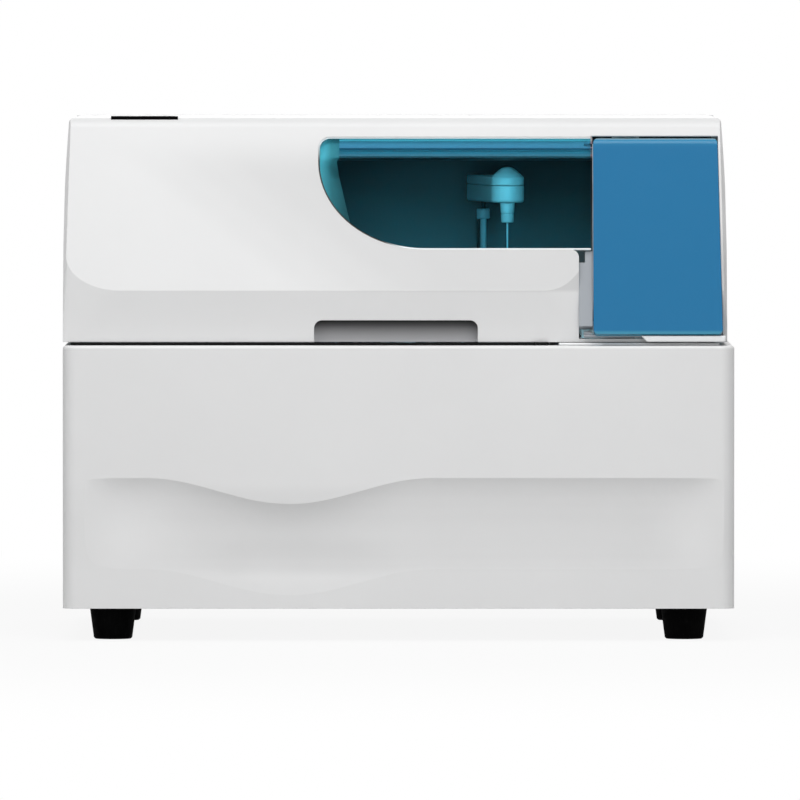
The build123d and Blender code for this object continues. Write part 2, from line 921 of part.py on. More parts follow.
# Cover hinge: pins through two brackets on the bay's back wall.
with BuildPart() as hinge_pins:
    for lug_x in (-hinge_lug_x, hinge_lug_x):
        with BuildSketch(Plane.YZ.offset(lug_x - hinge_pin_length / 2)):
            with Locations((hinge_y, hinge_z)):
                Circle(hinge_pin_radius)
        extrude(amount=hinge_pin_length)
hinge_pins.part.label = "cover_hinge_pins"
export_step(hinge_pins.part, "parts/cover_hinge_pins.step")

with BuildPart() as hinge_brackets:
    for lug_x in (-hinge_lug_x, hinge_lug_x):
        with BuildSketch(Plane.YZ.offset(lug_x - hinge_lug_width / 2)):
            with Locations((hinge_y, hinge_z)):
                Circle(knuckle_radius)
            with Locations(((hinge_y + housing_front_y) / 2, hinge_z - bracket_web / 4)):
                Rectangle(housing_front_y - hinge_y, bracket_web / 2)
            with Locations((housing_front_y - bracket_plate / 2, hinge_z - bracket_height / 2)):
                Rectangle(bracket_plate, bracket_height)
            with Locations((hinge_y, hinge_z)):
                Circle(hinge_pin_radius + pin_seat_gap, mode=Mode.SUBTRACT)
        extrude(amount=hinge_lug_width)
hinge_brackets.part.label = "cover_hinge_brackets"
export_step(hinge_brackets.part, "parts/cover_hinge_brackets.step")

# Door: a dished panel with a rolled top edge, turning on two short pins.
with BuildPart() as door_panel:
    with BuildSketch(face_plane(0)):
        door_outline(door_gap, door_axis_up)
    extrude(amount=-door_depth)
    with BuildSketch(face_plane(door_skin)):
        door_outline(door_gap + door_skin, door_axis_up - door_roll)
    extrude(amount=-door_depth, mode=Mode.SUBTRACT)
    with BuildSketch(Plane.YZ.offset(door_left)):
        with Locations((door_axis.Y, door_axis.Z)):
            Circle(door_roll)
    extrude(amount=door_pin_right - door_left)
    with BuildSketch(face_plane(-flare_depth)) as door_plan:
        door_outline(door_gap, up(door_top) - door_gap)
        fillet(door_plan.vertices().group_by(Axis.Y)[-1], door_corner)
        fillet(door_plan.vertices().group_by(Axis.Y)[0], door_foot_corner)
    extrude(amount=-3 * flare_depth, mode=Mode.INTERSECT)
    for pin_x in (door_left, door_pin_right):
        with BuildSketch(Plane.YZ.offset(pin_x - door_pin_length)):
            with Locations((door_axis.Y, door_axis.Z)):
                Circle(door_pin_radius + pin_seat_gap)
        extrude(amount=2 * door_pin_length, mode=Mode.SUBTRACT)
door_panel.part.label = "door_panel"
export_step(door_panel.part, "parts/door_panel.step")

with BuildPart() as door_pins:
    for pin_x, outside in ((door_left, door_pin_left_out), (door_pin_right - door_pin_length, 0)):
        with BuildSketch(Plane.YZ.offset(pin_x - outside)):
            with Locations((door_axis.Y, door_axis.Z)):
                Circle(door_pin_radius)
        extrude(amount=door_pin_length + door_pin_left_out - door_gap)
door_pins.part.label = "door_pins"
export_step(door_pins.part, "parts/door_pins.step")

# Door jamb: the pale post between the end of the low front wall and the door.
with BuildPart() as door_jamb:
    with BuildSketch(face_plane(jamb_depth)) as jamb_plan:
        with BuildLine():
            Polyline(
                (tongue_end, up(jamb_foot)),
                (door_left - door_gap, up(jamb_foot)),
                (door_left - door_gap, up(jamb_step_head)),
                (jamb_step_x, up(jamb_step_head)),
                (jamb_step_x, up(jamb_head)),
                (tongue_end, up(jamb_head)),
                close=True,
            )
        make_face()
        fillet(jamb_plan.vertices().group_by(Axis.Y)[-1].sort_by(Axis.X)[0], jamb_corner)
    extrude(amount=-jamb_thickness)
door_jamb.part.label = "door_jamb"
export_step(door_jamb.part, "parts/door_jamb.step")

# Window: tinted pane in its gasket, the slanted reveal and the rail behind it.
with BuildPart() as window_gasket:
    with BuildSketch(face_plane(gasket_front)):
        window_outline(0)
    extrude(amount=gasket_front - pane_recess - pane_thickness)
    with BuildSketch(face_plane(0)):
        window_outline(gasket_width)
    extrude(amount=-flare_depth, mode=Mode.SUBTRACT)
window_gasket.part.label = "window_gasket"
export_step(window_gasket.part, "parts/window_gasket.step")

with BuildPart() as window_pane:
    with BuildSketch(face_plane(pane_recess)):
        window_outline(gasket_width)
    extrude(amount=-pane_thickness)
window_pane.part.label = "window_pane"
export_step(window_pane.part, "parts/window_pane.step")

reveal_corner, reveal_bend, reveal_foot = [
    (window_left + inset, rail_high - drop) for inset, drop in reveal_insets
]
with BuildPart() as window_reveal:
    with BuildSketch(face_plane(pane_recess + pane_thickness)):
        window_outline(0)
    extrude(amount=-reveal_depth)
    with BuildSketch(face_plane(0)):
        with BuildLine():
            Polyline(
                (window_left, up(reveal_corner[1])),
                (reveal_corner[0], up(reveal_corner[1])),
                (reveal_bend[0], up(reveal_bend[1])),
                (reveal_foot[0], up(reveal_foot[1])),
                (window_left, up(reveal_foot[1])),
                close=True,
            )
        make_face()
    extrude(amount=-2 * reveal_depth, mode=Mode.INTERSECT)
window_reveal.part.label = "window_reveal"
export_step(window_reveal.part, "parts/window_reveal.step")

with BuildPart() as window_rail:
    with BuildSketch(face_plane(rail_depth)):
        with Locations(((rail_left + rail_right) / 2, (up(rail_low) + up(rail_high)) / 2)):
            Rectangle(rail_right - rail_left, up(rail_high) - up(rail_low))
    extrude(amount=-rail_thickness)
    with BuildSketch(face_plane(cover_wall)):
        with Locations(((rail_left + rail_right) / 2, (up(rail_pad_low) + up(rail_high)) / 2)):
            Rectangle(rail_right - rail_left, up(rail_high) - up(rail_pad_low))
    extrude(amount=cover_wall - rail_depth)
    with BuildSketch(face_plane(rail_depth)):
        with Locations(((rail_left + rail_right) / 2, up(rail_groove))):
            Rectangle(rail_right - rail_left, rail_groove_width)
    extrude(amount=-rail_groove_width, mode=Mode.SUBTRACT)
    with BuildSketch(Plane.YZ.offset(rail_right - door_pin_length)):
        with Locations((door_axis.Y, door_axis.Z)):
            Circle(door_pin_radius + running_clearance)
    extrude(amount=2 * door_pin_length, mode=Mode.SUBTRACT)
window_rail.part.label = "window_rail"
export_step(window_rail.part, "parts/window_rail.step")

# Grip: a pocket behind the cut-out in the cover's chin.
with BuildPart() as grip_pocket:
    with BuildSketch(Plane.XZ.offset(-crease_y)) as pocket_outside:
        with Locations(((grip_left + grip_right) / 2, cover_bottom + (grip_height + grip_wall) / 2)):
            Rectangle(grip_right - grip_left + 2 * grip_wall, grip_height + grip_wall)
        fillet(pocket_outside.vertices().group_by(Axis.Y)[-1], grip_radius + grip_wall)
    extrude(amount=-grip_depth - grip_wall)
    with BuildSketch(Plane.XZ.offset(-crease_y)) as pocket_inside:
        with Locations(((grip_left + grip_right) / 2, cover_bottom + grip_height / 2)):
            Rectangle(grip_right - grip_left, grip_height)
        fillet(pocket_inside.vertices().group_by(Axis.Y)[-1], grip_radius)
    extrude(amount=-grip_depth, mode=Mode.SUBTRACT)
    add(cover_inside, mode=Mode.INTERSECT)
grip_pocket.part.label = "grip_pocket"
export_step(grip_pocket.part, "parts/grip_pocket.step")

# Top vent: a dark slotted insert let into the roof of the cover.
with BuildPart() as top_vent:
    with BuildSketch(Plane.XY.offset(cover_top + vent_proud - vent_thickness)):
        vent_plan()
    extrude(amount=vent_thickness)
    with BuildSketch(Plane.XY.offset(cover_top)):
        with Locations(((vent_left + vent_right) / 2, vent_front_y + vent_depth / 2)):
            with GridLocations((vent_right - vent_left) / (vent_slot_count + 2), 0, vent_slot_count, 1):
                SlotOverall(vent_depth - 3 * vent_slot_width, vent_slot_width, rotation=90)
    extrude(amount=vent_proud, mode=Mode.SUBTRACT)
top_vent.part.label = "top_vent"
export_step(top_vent.part, "parts/top_vent.step")

# Bumpers: rubber pads on the cabinet's lip that the closed cover rests on, and
# the rubber seal strip that runs from the first of them to the left corner.
with BuildPart() as cover_bumpers:
    with BuildSketch(Plane.XY.offset(cabinet_top)):
        for bumper_x in bumper_places:
            with Locations((bumper_x, bumper_y)):
                RectangleRounded(bumper_length, bumper_width, bumper_width / 4)
    extrude(amount=cover_seam)
    with BuildSketch(Plane.XY.offset(cabinet_top)):
        with Locations(((seal_left + bumper_places[0]) / 2, bumper_y)):
            Rectangle(bumper_places[0] - seal_left, seal_width)
    extrude(amount=cover_seam - seal_gap)
cover_bumpers.part.label = "cover_bumpers"
export_step(cover_bumpers.part, "parts/cover_bumpers.step")

# Rear cover: the fixed shell behind the cover, with cooling slots at the back.
with BuildPart() as rear_cover:
    with BuildSketch(Plane.XZ.offset(-rear_y)) as rear_outline:
        silhouette(0, cabinet_top)
        fillet(rear_outline.vertices().group_by(Axis.Y)[-1], cover_edge_radius)
    extrude(amount=rear_y - housing_front_y)
    rear_top_edges = rear_cover.faces().sort_by(Axis.Y)[-1].edges()
    fillet(rear_top_edges.sort_by(Axis.Z)[-1], rear_edge_radius)
    with BuildSketch(Plane.XZ.offset(-(rear_y - rear_cover_wall))) as rear_inside:
        silhouette(rear_cover_wall, cabinet_top)
        fillet(rear_inside.vertices().group_by(Axis.Y)[-1], cover_edge_radius - rear_cover_wall / 2)
    extrude(amount=rear_y - housing_front_y, mode=Mode.SUBTRACT)
    with BuildSketch(Plane.XZ.offset(-rear_y)):
        with Locations((0, rear_slot_z)):
            with GridLocations(rear_slot_spread, rear_slot_pitch, 2, rear_slot_count):
                SlotOverall(rear_slot_length, rear_slot_width)
    extrude(amount=rear_cover_wall, mode=Mode.SUBTRACT)
rear_cover.part.label = "rear_cover"
export_step(rear_cover.part, "parts/rear_cover.step")

# Bay back wall: the dark wall behind the arms, closing the rear cover.
with BuildPart() as bay_back_wall:
    with BuildSketch(Plane.XZ.offset(-housing_front_y - back_wall)) as back_outline:
        silhouette(rear_cover_wall, deck_top)
        fillet(back_outline.vertices().group_by(Axis.Y)[-1], cover_edge_radius - rear_cover_wall / 2)
    extrude(amount=back_wall)
    with BuildSketch(Plane.XY.offset(deck_top)):
        with Locations((cover_left, housing_front_y), (cover_right, housing_front_y)):
            Rectangle(2 * lip_depth, 4 * back_wall)
    extrude(amount=panel_wall, mode=Mode.SUBTRACT)
bay_back_wall.part.label = "bay_back_wall"
export_step(bay_back_wall.part, "parts/bay_back_wall.step")


def cup_shell(center, radius, floor_z, wall):
    # round well let into the deck: wall, floor, a rim on the deck and a spindle hole
    bore = spindle_radius + running_clearance
    with BuildPart() as cup:
        with BuildSketch(Plane.XY.offset(floor_z)):
            with Locations(center):
                Circle(radius)
        extrude(amount=deck_top - floor_z)
        with BuildSketch(Plane.XY.offset(deck_top)):
            with Locations(center):
                Circle(radius + well_rim_width)
        extrude(amount=well_rim_height)
        with BuildSketch(Plane.XY.offset(floor_z + wall)):
            with Locations(center):
                Circle(radius - wall)
        extrude(amount=cabinet_top - floor_z, mode=Mode.SUBTRACT)
        with BuildSketch(Plane.XY.offset(floor_z)):
            with Locations(center):
                Circle(bore)
        extrude(amount=wall, mode=Mode.SUBTRACT)
    return cup


carousel_well = cup_shell(carousel_center, well_radius, well_floor, well_wall)
carousel_well.part.label = "carousel_well"
export_step(carousel_well.part, "parts/carousel_well.step")
incubator_bath = cup_shell(rotor_center, bath_radius, bath_floor, bath_wall)
incubator_bath.part.label = "incubator_bath"
export_step(incubator_bath.part, "parts/incubator_bath.step")

# Carousel: a lower and an upper plate on one hub; the bottles stand on the lower
# plate and pass through the upper one, and the cups hang in the upper one.
lower_plate_z = well_floor + well_wall + tray_clearance
bottle_foot_z = lower_plate_z + tray_plate
upper_plate_top = upper_plate_z + tray_plate
bottle_start = cup_phase + cup_step / 2
with BuildPart() as carousel_tray:
    with BuildSketch(Plane.XY.offset(lower_plate_z)):
        with Locations(carousel_center):
            Circle(carousel_radius)
    extrude(amount=tray_plate)
    with BuildSketch(Plane.XY.offset(upper_plate_z)):
        with Locations(carousel_center):
            Circle(carousel_radius)
            with PolarLocations(bottle_ring_radius, bottle_count, bottle_start):
                Rectangle(bottle_length + 2 * bottle_fit, bottle_width + 2 * bottle_fit, mode=Mode.SUBTRACT)
            with PolarLocations(cup_ring_radius, cup_count, cup_phase):
                Circle(cup_radius + cup_fit, mode=Mode.SUBTRACT)
    extrude(amount=tray_plate)
    with BuildSketch(Plane.XY.offset(well_floor - motor_shaft_drop)):
        with Locations(carousel_center):
            Circle(spindle_radius)
    extrude(amount=lower_plate_z - well_floor + motor_shaft_drop)
    with BuildSketch(Plane.XY.offset(lower_plate_z)):
        with Locations(carousel_center):
            Circle(carousel_hub_radius)
    extrude(amount=upper_plate_top - lower_plate_z)
    with BuildSketch(Plane(origin=(*carousel_center, 0), x_dir=(1, 0, 0), z_dir=(0, -1, 0))):
        with BuildLine():
            knob_foot = Line((0, upper_plate_top), (carousel_knob_radius, upper_plate_top))
            waist = ThreePointArc(
                knob_foot @ 1,
                (carousel_knob_radius / 2, (upper_plate_top + carousel_knob_top) / 2),
                (carousel_knob_radius, carousel_knob_top),
            )
            Polyline(waist @ 1, (0, carousel_knob_top), knob_foot @ 0)
        make_face()
    revolve(axis=Axis((*carousel_center, 0), (0, 0, 1)))
carousel_tray.part.label = "carousel_tray"
export_step(carousel_tray.part, "parts/carousel_tray.step")

with BuildPart() as reagent_bottles:
    with BuildSketch(Plane.XY.offset(bottle_foot_z)) as bottle_plan:
        with Locations(carousel_center):
            with PolarLocations(bottle_ring_radius, bottle_count, bottle_start):
                RectangleRounded(bottle_length, bottle_width, bottle_corner)
    extrude(amount=bottle_height)
    with BuildSketch(Plane.XY.offset(bottle_foot_z + bottle_height)):
        with Locations(carousel_center):
            with PolarLocations(bottle_ring_radius, bottle_count, bottle_start):
                Circle(bottle_neck_radius)
    extrude(amount=bottle_neck_height)
    with BuildSketch(Plane.XY.offset(bottle_foot_z + bottle_wall)):
        with Locations(carousel_center):
            with PolarLocations(bottle_ring_radius, bottle_count, bottle_start):
                Circle(bottle_mouth_radius)
    extrude(amount=bottle_height + bottle_neck_height, mode=Mode.SUBTRACT)
reagent_bottles.part.label = "reagent_bottles"
export_step(reagent_bottles.part, "parts/reagent_bottles.step")

with BuildPart() as sample_cups:
    with BuildSketch(Plane.XY.offset(upper_plate_z - cup_drop)):
        with Locations(carousel_center):
            with PolarLocations(cup_ring_radius, cup_count, cup_phase):
                Circle(cup_radius)
    extrude(amount=upper_plate_top + cup_rise - upper_plate_z + cup_drop)
    with BuildSketch(Plane.XY.offset(upper_plate_top)):
        with Locations(carousel_center):
            with PolarLocations(cup_ring_radius, cup_count, cup_phase):
                Circle(cup_flange_radius)
    extrude(amount=cup_flange)
    with BuildSketch(Plane.XY.offset(upper_plate_z - cup_drop + cup_floor)):
        with Locations(carousel_center):
            with PolarLocations(cup_ring_radius, cup_count, cup_phase):
                Circle(cup_bore)
    extrude(amount=cabinet_top, mode=Mode.SUBTRACT)
sample_cups.part.label = "sample_cups"
export_step(sample_cups.part, "parts/sample_cups.step")

# Reaction rotor: a disc on a spindle carries the ring of cuvettes in the bath.
with BuildPart() as rotor_disc:
    with BuildSketch(Plane.XY.offset(rotor_plate_z)):
        with Locations(rotor_center):
            Circle(rotor_radius)
            with PolarLocations(rotor_bolt_ring, rotor_bolt_count, cuvette_phase):
                Circle(rotor_bolt_radius, mode=Mode.SUBTRACT)
    extrude(amount=rotor_plate)
    with BuildSketch(Plane.XY.offset(bath_floor - motor_shaft_drop)):
        with Locations(rotor_center):
            Circle(spindle_radius)
    extrude(amount=rotor_plate_z - bath_floor + motor_shaft_drop)
    with BuildSketch(Plane.XY.offset(rotor_plate_z + rotor_plate)):
        with Locations(rotor_center):
            Circle(rotor_cap_radius)
    extrude(amount=rotor_cap_height, taper=8)
rotor_disc.part.label = "rotor_disc"
export_step(rotor_disc.part, "parts/rotor_disc.step")

with BuildPart() as cuvette_ring:
    with BuildSketch(Plane.XY.offset(rotor_plate_z + rotor_plate)):
        with Locations(rotor_center):
            Circle(cuvette_ring_radius + cuvette_ring_width / 2)
            Circle(cuvette_ring_radius - cuvette_ring_width / 2, mode=Mode.SUBTRACT)
    extrude(amount=cuvette_height)
    with BuildSketch(Plane.XY.offset(rotor_plate_z + rotor_plate + cuvette_height)):
        with Locations(rotor_center):
            with PolarLocations(cuvette_ring_radius, cuvette_count, cuvette_phase):
                Rectangle(cuvette_slot_length, cuvette_slot_width)
    extrude(amount=-cuvette_slot_depth, mode=Mode.SUBTRACT)
cuvette_ring.part.label = "cuvette_ring"
export_step(cuvette_ring.part, "parts/cuvette_ring.step")

# Drive motors: four alike, under the carousel, the rotor and the two arms.
motor_places = (
    (carousel_center, well_floor),
    (rotor_center, bath_floor),
    (probe_pivot, column_bottom),
    (mixer_pivot, mixer_column_bottom),
)
with BuildPart() as drive_motors:
    for motor_center, motor_top in motor_places:
        with BuildSketch(Plane.XY.offset(motor_top - motor_height)):
            with Locations(motor_center):
                RectangleRounded(motor_size, motor_size, motor_corner)
        extrude(amount=motor_height)
        with BuildSketch(Plane.XY.offset(motor_top)):
            with Locations(motor_center):
                Circle(spindle_radius + motor_coupling_clearance)
        extrude(amount=-motor_shaft_drop - motor_coupling_clearance, mode=Mode.SUBTRACT)
drive_motors.part.label = "drive_motors"
export_step(drive_motors.part, "parts/drive_motors.step")


def column(pivot, bottom, top, shaft_clearance, rod_clearance):
    # guide column of an arm: a flanged tube with a shaft bore and a rod bore
    with BuildPart() as tube:
        with BuildSketch(Plane.XY.offset(bottom)):
            with Locations(pivot):
                Circle(column_radius)
        extrude(amount=top - bottom)
        chamfer(tube.edges().group_by(Axis.Z)[-1], column_edge)
        with BuildSketch(Plane.XY.offset(deck_top)):
            with Locations(pivot):
                Circle(column_flange_radius)
        extrude(amount=column_flange)
        with BuildSketch(Plane.XY.offset(bottom + column_floor)):
            with Locations(pivot):
                Circle(shaft_radius + shaft_clearance)
            with Locations((pivot[0] - rod_offset, pivot[1])):
                Circle(rod_radius + rod_clearance)
        extrude(amount=top - bottom, mode=Mode.SUBTRACT)
    return tube


probe_column = column(probe_pivot, column_bottom, column_top, running_clearance, running_clearance)
probe_column.part.label = "probe_column"
export_step(probe_column.part, "parts/probe_column.step")
mixer_column = column(
    mixer_pivot, mixer_column_bottom, mixer_column_top, running_clearance, running_clearance
)
mixer_column.part.label = "mixer_column"
export_step(mixer_column.part, "parts/mixer_column.step")


def lift(pivot, arm_z, reach, second_reach):
    # lifting shaft: a collar on a shaft, a guide rod beside it, a socket on top
    collar_top = arm_z - neck_height
    collar_low = collar_top - collar_height
    with BuildPart() as shaft:
        with BuildSketch(Plane.XY.offset(collar_low)):
            with Locations(pivot):
                Circle(collar_radius)
        extrude(amount=collar_height)
        chamfer(shaft.edges(), collar_edge)
        with BuildSketch(Plane.XY.offset(collar_low - reach)):
            with Locations(pivot):
                Circle(shaft_radius)
        extrude(amount=reach)
        with BuildSketch(Plane.XY.offset(collar_low - second_reach)):
            with Locations((pivot[0] - rod_offset, pivot[1])):
                Circle(rod_radius)
        extrude(amount=second_reach)
        with BuildSketch(Plane.XY.offset(collar_top)):
            with Locations(pivot):
                Circle(neck_radius + running_clearance)
        extrude(amount=-neck_socket - running_clearance, mode=Mode.SUBTRACT)
    return shaft


probe_shaft = lift(probe_pivot, arm_bottom, shaft_reach, rod_reach)
probe_shaft.part.label = "probe_shaft"
export_step(probe_shaft.part, "parts/probe_shaft.step")
mixer_shaft = lift(mixer_pivot, mixer_bottom, mixer_shaft_reach, mixer_rod_reach)
mixer_shaft.part.label = "mixer_shaft"
export_step(mixer_shaft.part, "parts/mixer_shaft.step")


def arm_plan(pivot, tip, width):
    # plan of an arm: a slot from the pivot to the tip
    with Locations(((pivot[0] + tip[0]) / 2, (pivot[1] + tip[1]) / 2)):
        angle = degrees(atan2(tip[1] - pivot[1], tip[0] - pivot[0]))
        SlotCenterToCenter(hypot(tip[0] - pivot[0], tip[1] - pivot[1]), width, rotation=angle)


# Probe arm: lower and upper shells with a dome over the probe, the neck that
# turns in the lifting shaft, the tapered probe holder and the needle.
with BuildPart() as probe_arm_lower:
    with BuildSketch(Plane.XY.offset(arm_bottom)):
        arm_plan(probe_pivot, probe_tip, arm_width)
    extrude(amount=arm_parting - arm_bottom)
    fillet(probe_arm_lower.edges().group_by(Axis.Z)[0], arm_edge)
    with BuildSketch(Plane.XY.offset(arm_bottom - neck_height - neck_socket)):
        with Locations(probe_pivot):
            Circle(neck_radius)
    extrude(amount=neck_height + neck_socket + arm_edge)
probe_arm_lower.part.label = "probe_arm_lower"
export_step(probe_arm_lower.part, "parts/probe_arm_lower.step")

with BuildPart() as probe_arm_upper:
    with BuildSketch(Plane.XY.offset(arm_parting)):
        arm_plan(probe_pivot, probe_tip, arm_width)
    extrude(amount=arm_flat_top - arm_parting)
    fillet(probe_arm_upper.edges().group_by(Axis.Z)[-1], arm_edge)
    with BuildSketch(Plane.XY.offset(arm_flat_top - arm_edge)):
        with Locations(probe_tip):
            Circle(arm_dome_radius)
    extrude(amount=arm_dome_top - arm_flat_top + arm_edge)
    fillet(probe_arm_upper.edges().group_by(Axis.Z)[-1], arm_dome_edge)
probe_arm_upper.part.label = "probe_arm_upper"
export_step(probe_arm_upper.part, "parts/probe_arm_upper.step")

with BuildPart() as probe_holder:
    with BuildSketch(Plane.XY.offset(arm_bottom)):
        with Locations(probe_tip):
            Circle(holder_top_radius)
    with BuildSketch(Plane.XY.offset(arm_bottom - holder_height)):
        with Locations(probe_tip):
            Circle(holder_low_radius)
    loft()
probe_holder.part.label = "probe_holder"
export_step(probe_holder.part, "parts/probe_holder.step")

with BuildPart() as probe_needle:
    with BuildSketch(Plane.XY.offset(needle_tip + needle_point)):
        with Locations(probe_tip):
            Circle(needle_radius)
    extrude(amount=arm_bottom - holder_height - needle_tip - needle_point)
    with BuildSketch(Plane.XY.offset(needle_tip + needle_point)):
        with Locations(probe_tip):
            Circle(needle_radius)
    with BuildSketch(Plane.XY.offset(needle_tip)):
        with Locations(probe_tip):
            Circle(needle_radius / 2)
    loft()
probe_needle.part.label = "probe_needle"
export_step(probe_needle.part, "parts/probe_needle.step")

# Mixer arm: one shell with its neck, and the paddle that spins in its tip.
with BuildPart() as mixer_arm:
    with BuildSketch(Plane.XY.offset(mixer_bottom)):
        arm_plan(mixer_pivot, mixer_tip, mixer_width)
    extrude(amount=mixer_top - mixer_bottom)
    fillet(mixer_arm.edges().group_by(Axis.Z)[-1], mixer_edge)
    with BuildSketch(Plane.XY.offset(mixer_bottom - neck_height - neck_socket)):
        with Locations(mixer_pivot):
            Circle(neck_radius)
    extrude(amount=neck_height + neck_socket)
    with BuildSketch(Plane.XY.offset(mixer_bottom)):
        with Locations(mixer_tip):
            Circle(paddle_rod_radius + running_clearance)
    extrude(amount=paddle_socket + running_clearance, mode=Mode.SUBTRACT)
mixer_arm.part.label = "mixer_arm"
export_step(mixer_arm.part, "parts/mixer_arm.step")

with BuildPart() as mixer_paddle:
    with BuildSketch(Plane.XY.offset(paddle_low + paddle_height)):
        with Locations(mixer_tip):
            Circle(paddle_rod_radius)
    extrude(amount=mixer_bottom + paddle_socket - paddle_low - paddle_height)
    with BuildSketch(Plane.XY.offset(paddle_low)):
        with Locations(mixer_tip):
            Rectangle(paddle_width, paddle_thickness)
    extrude(amount=paddle_height)
mixer_paddle.part.label = "mixer_paddle"
export_step(mixer_paddle.part, "parts/mixer_paddle.step")

# Cuvette washer: a head with five nozzles slides on a post beside the bath.
nozzle_bearing = cuvette_phase + round((180 - cuvette_phase) / cuvette_step) * cuvette_step
with BuildPart() as wash_post:
    with BuildSketch(Plane.XY.offset(deck_top)):
        with Locations(wash_post_place):
            Circle(wash_sleeve_radius)
    extrude(amount=column_flange)
    with BuildSketch(Plane.XY.offset(deck_top + column_flange)):
        with Locations(wash_post_place):
            Circle(wash_post_radius)
    extrude(amount=wash_post_top - deck_top - column_flange)
    chamfer(wash_post.edges().group_by(Axis.Z)[-1], collar_edge)
wash_post.part.label = "wash_post"
export_step(wash_post.part, "parts/wash_post.step")

with BuildPart() as wash_head:
    with BuildSketch(Plane.XY.offset(wash_sleeve_low)):
        with Locations(wash_post_place):
            Circle(wash_sleeve_radius)
    extrude(amount=wash_sleeve_high - wash_sleeve_low)
    with BuildSketch(Plane.XY.offset(wash_sleeve_high - wash_bar_height)) as bar_plan:
        with Locations((wash_post_place[0] + wash_bar_reach / 2, wash_post_place[1])):
            Rectangle(wash_bar_reach, wash_bar_width)
        with Locations((rotor_center[0] - cuvette_ring_radius, rotor_center[1])):
            RectangleRounded(wash_block_width, wash_block_length, collar_edge)
    extrude(amount=wash_bar_height)
    with BuildSketch(Plane.XY.offset(wash_nozzle_tip)):
        for nozzle in range(wash_nozzle_count):
            nozzle_angle = radians(nozzle_bearing + (nozzle - wash_nozzle_count // 2) * cuvette_step)
            nozzle_x = rotor_center[0] + cuvette_ring_radius * cos(nozzle_angle)
            nozzle_y = rotor_center[1] + cuvette_ring_radius * sin(nozzle_angle)
            with Locations((nozzle_x, nozzle_y)):
                Circle(wash_nozzle_radius)
    extrude(amount=wash_sleeve_high - wash_bar_height - wash_nozzle_tip)
    with BuildSketch(Plane.XY.offset(wash_sleeve_low)):
        with Locations(wash_post_place):
            Circle(wash_post_radius + running_clearance)
    extrude(amount=wash_sleeve_high - wash_sleeve_low, mode=Mode.SUBTRACT)
wash_head.part.label = "wash_head"
export_step(wash_head.part, "parts/wash_head.step")

# Rinse well: a small deep cup between the carousel and the bath.
with BuildPart() as rinse_well:
    with BuildSketch(Plane.XY.offset(deck_top - rinse_depth)):
        with Locations(rinse_place):
            Circle(rinse_radius)
    extrude(amount=rinse_depth + rinse_rise)
    with BuildSketch(Plane.XY.offset(deck_top)):
        with Locations(rinse_place):
            Circle(rinse_rim_radius)
    extrude(amount=column_flange)
    with BuildSketch(Plane.XY.offset(deck_top - rinse_depth + well_wall)):
        with Locations(rinse_place):
            Circle(rinse_bore)
    extrude(amount=rinse_depth + rinse_rise, mode=Mode.SUBTRACT)
rinse_well.part.label = "rinse_well"
export_step(rinse_well.part, "parts/rinse_well.step")

# Rear panel: a recessed plate with openings for the fan and the connections.
rear_plate_back = rear_panel_y + sheet
module_width = switch_x + switch_width / 2 - inlet_x + inlet_width / 2
module_x = inlet_x - inlet_width / 2 + module_width / 2
with BuildPart() as rear_panel:
    with BuildSketch(Plane.XZ.offset(-rear_plate_back)):
        with Locations((0, (foot_height + deck_under) / 2)):
            Rectangle(2 * inner_x, deck_under - foot_height)
        with Locations((fan_x, fan_z)):
            Circle(fan_bore, mode=Mode.SUBTRACT)
        with Locations((module_x, inlet_z)):
            Rectangle(module_width - 2 * inlet_face, inlet_height - inlet_face, mode=Mode.SUBTRACT)
        with Locations(*spigot_places):
            Circle(spigot_bore, mode=Mode.SUBTRACT)
    extrude(amount=sheet)
rear_panel.part.label = "rear_panel"
export_step(rear_panel.part, "parts/rear_panel.step")

# Fan: frame with its spider, bladed rotor, and the wire guard outside.
fan_front_y = rear_panel_y - fan_depth
with BuildPart() as fan_frame:
    with BuildSketch(Plane.XZ.offset(-rear_panel_y)):
        with Locations((fan_x, fan_z)):
            RectangleRounded(fan_size, fan_size, fan_corner)
            Circle(fan_bore, mode=Mode.SUBTRACT)
    extrude(amount=fan_depth)
    with BuildSketch(Plane.XZ.offset(-fan_front_y - fan_spider)):
        with Locations((fan_x, fan_z)):
            Circle(fan_hub_radius)
            with PolarLocations(0, 2):
                Rectangle(2 * fan_bore + fan_spider, fan_spider)
            with PolarLocations(0, 2, 90):
                Rectangle(2 * fan_bore + fan_spider, fan_spider)
            Circle(fan_axle_radius + running_clearance, mode=Mode.SUBTRACT)
    extrude(amount=fan_spider)
fan_frame.part.label = "fan_frame"
export_step(fan_frame.part, "parts/fan_frame.step")

rotor_low_y = fan_front_y + fan_spider + fan_rotor_gap
rotor_high_y = rear_panel_y - fan_rotor_gap
with BuildPart() as fan_rotor:
    with BuildSketch(Plane.XZ.offset(-rotor_high_y)):
        with Locations((fan_x, fan_z)):
            Circle(fan_hub_radius)
    extrude(amount=rotor_high_y - rotor_low_y)
    with BuildSketch(Plane.XZ.offset(-rotor_low_y)):
        with Locations((fan_x, fan_z)):
            Circle(fan_axle_radius)
    extrude(amount=fan_spider)
    blade_middle = (fan_hub_radius + fan_blade_radius) / 2 - fan_blade_thick
    for blade in range(fan_blade_count):
        blade_turn = 360 * blade / fan_blade_count
        turn = Location((fan_x, (rotor_low_y + rotor_high_y) / 2, fan_z), (0, blade_turn, 0))
        reach = Location((blade_middle, 0, 0), (fan_blade_angle, 0, 0))
        with Locations(turn * reach):
            Box(fan_blade_radius - fan_hub_radius, fan_blade_width, fan_blade_thick)
fan_rotor.part.label = "fan_rotor"
export_step(fan_rotor.part, "parts/fan_rotor.step")

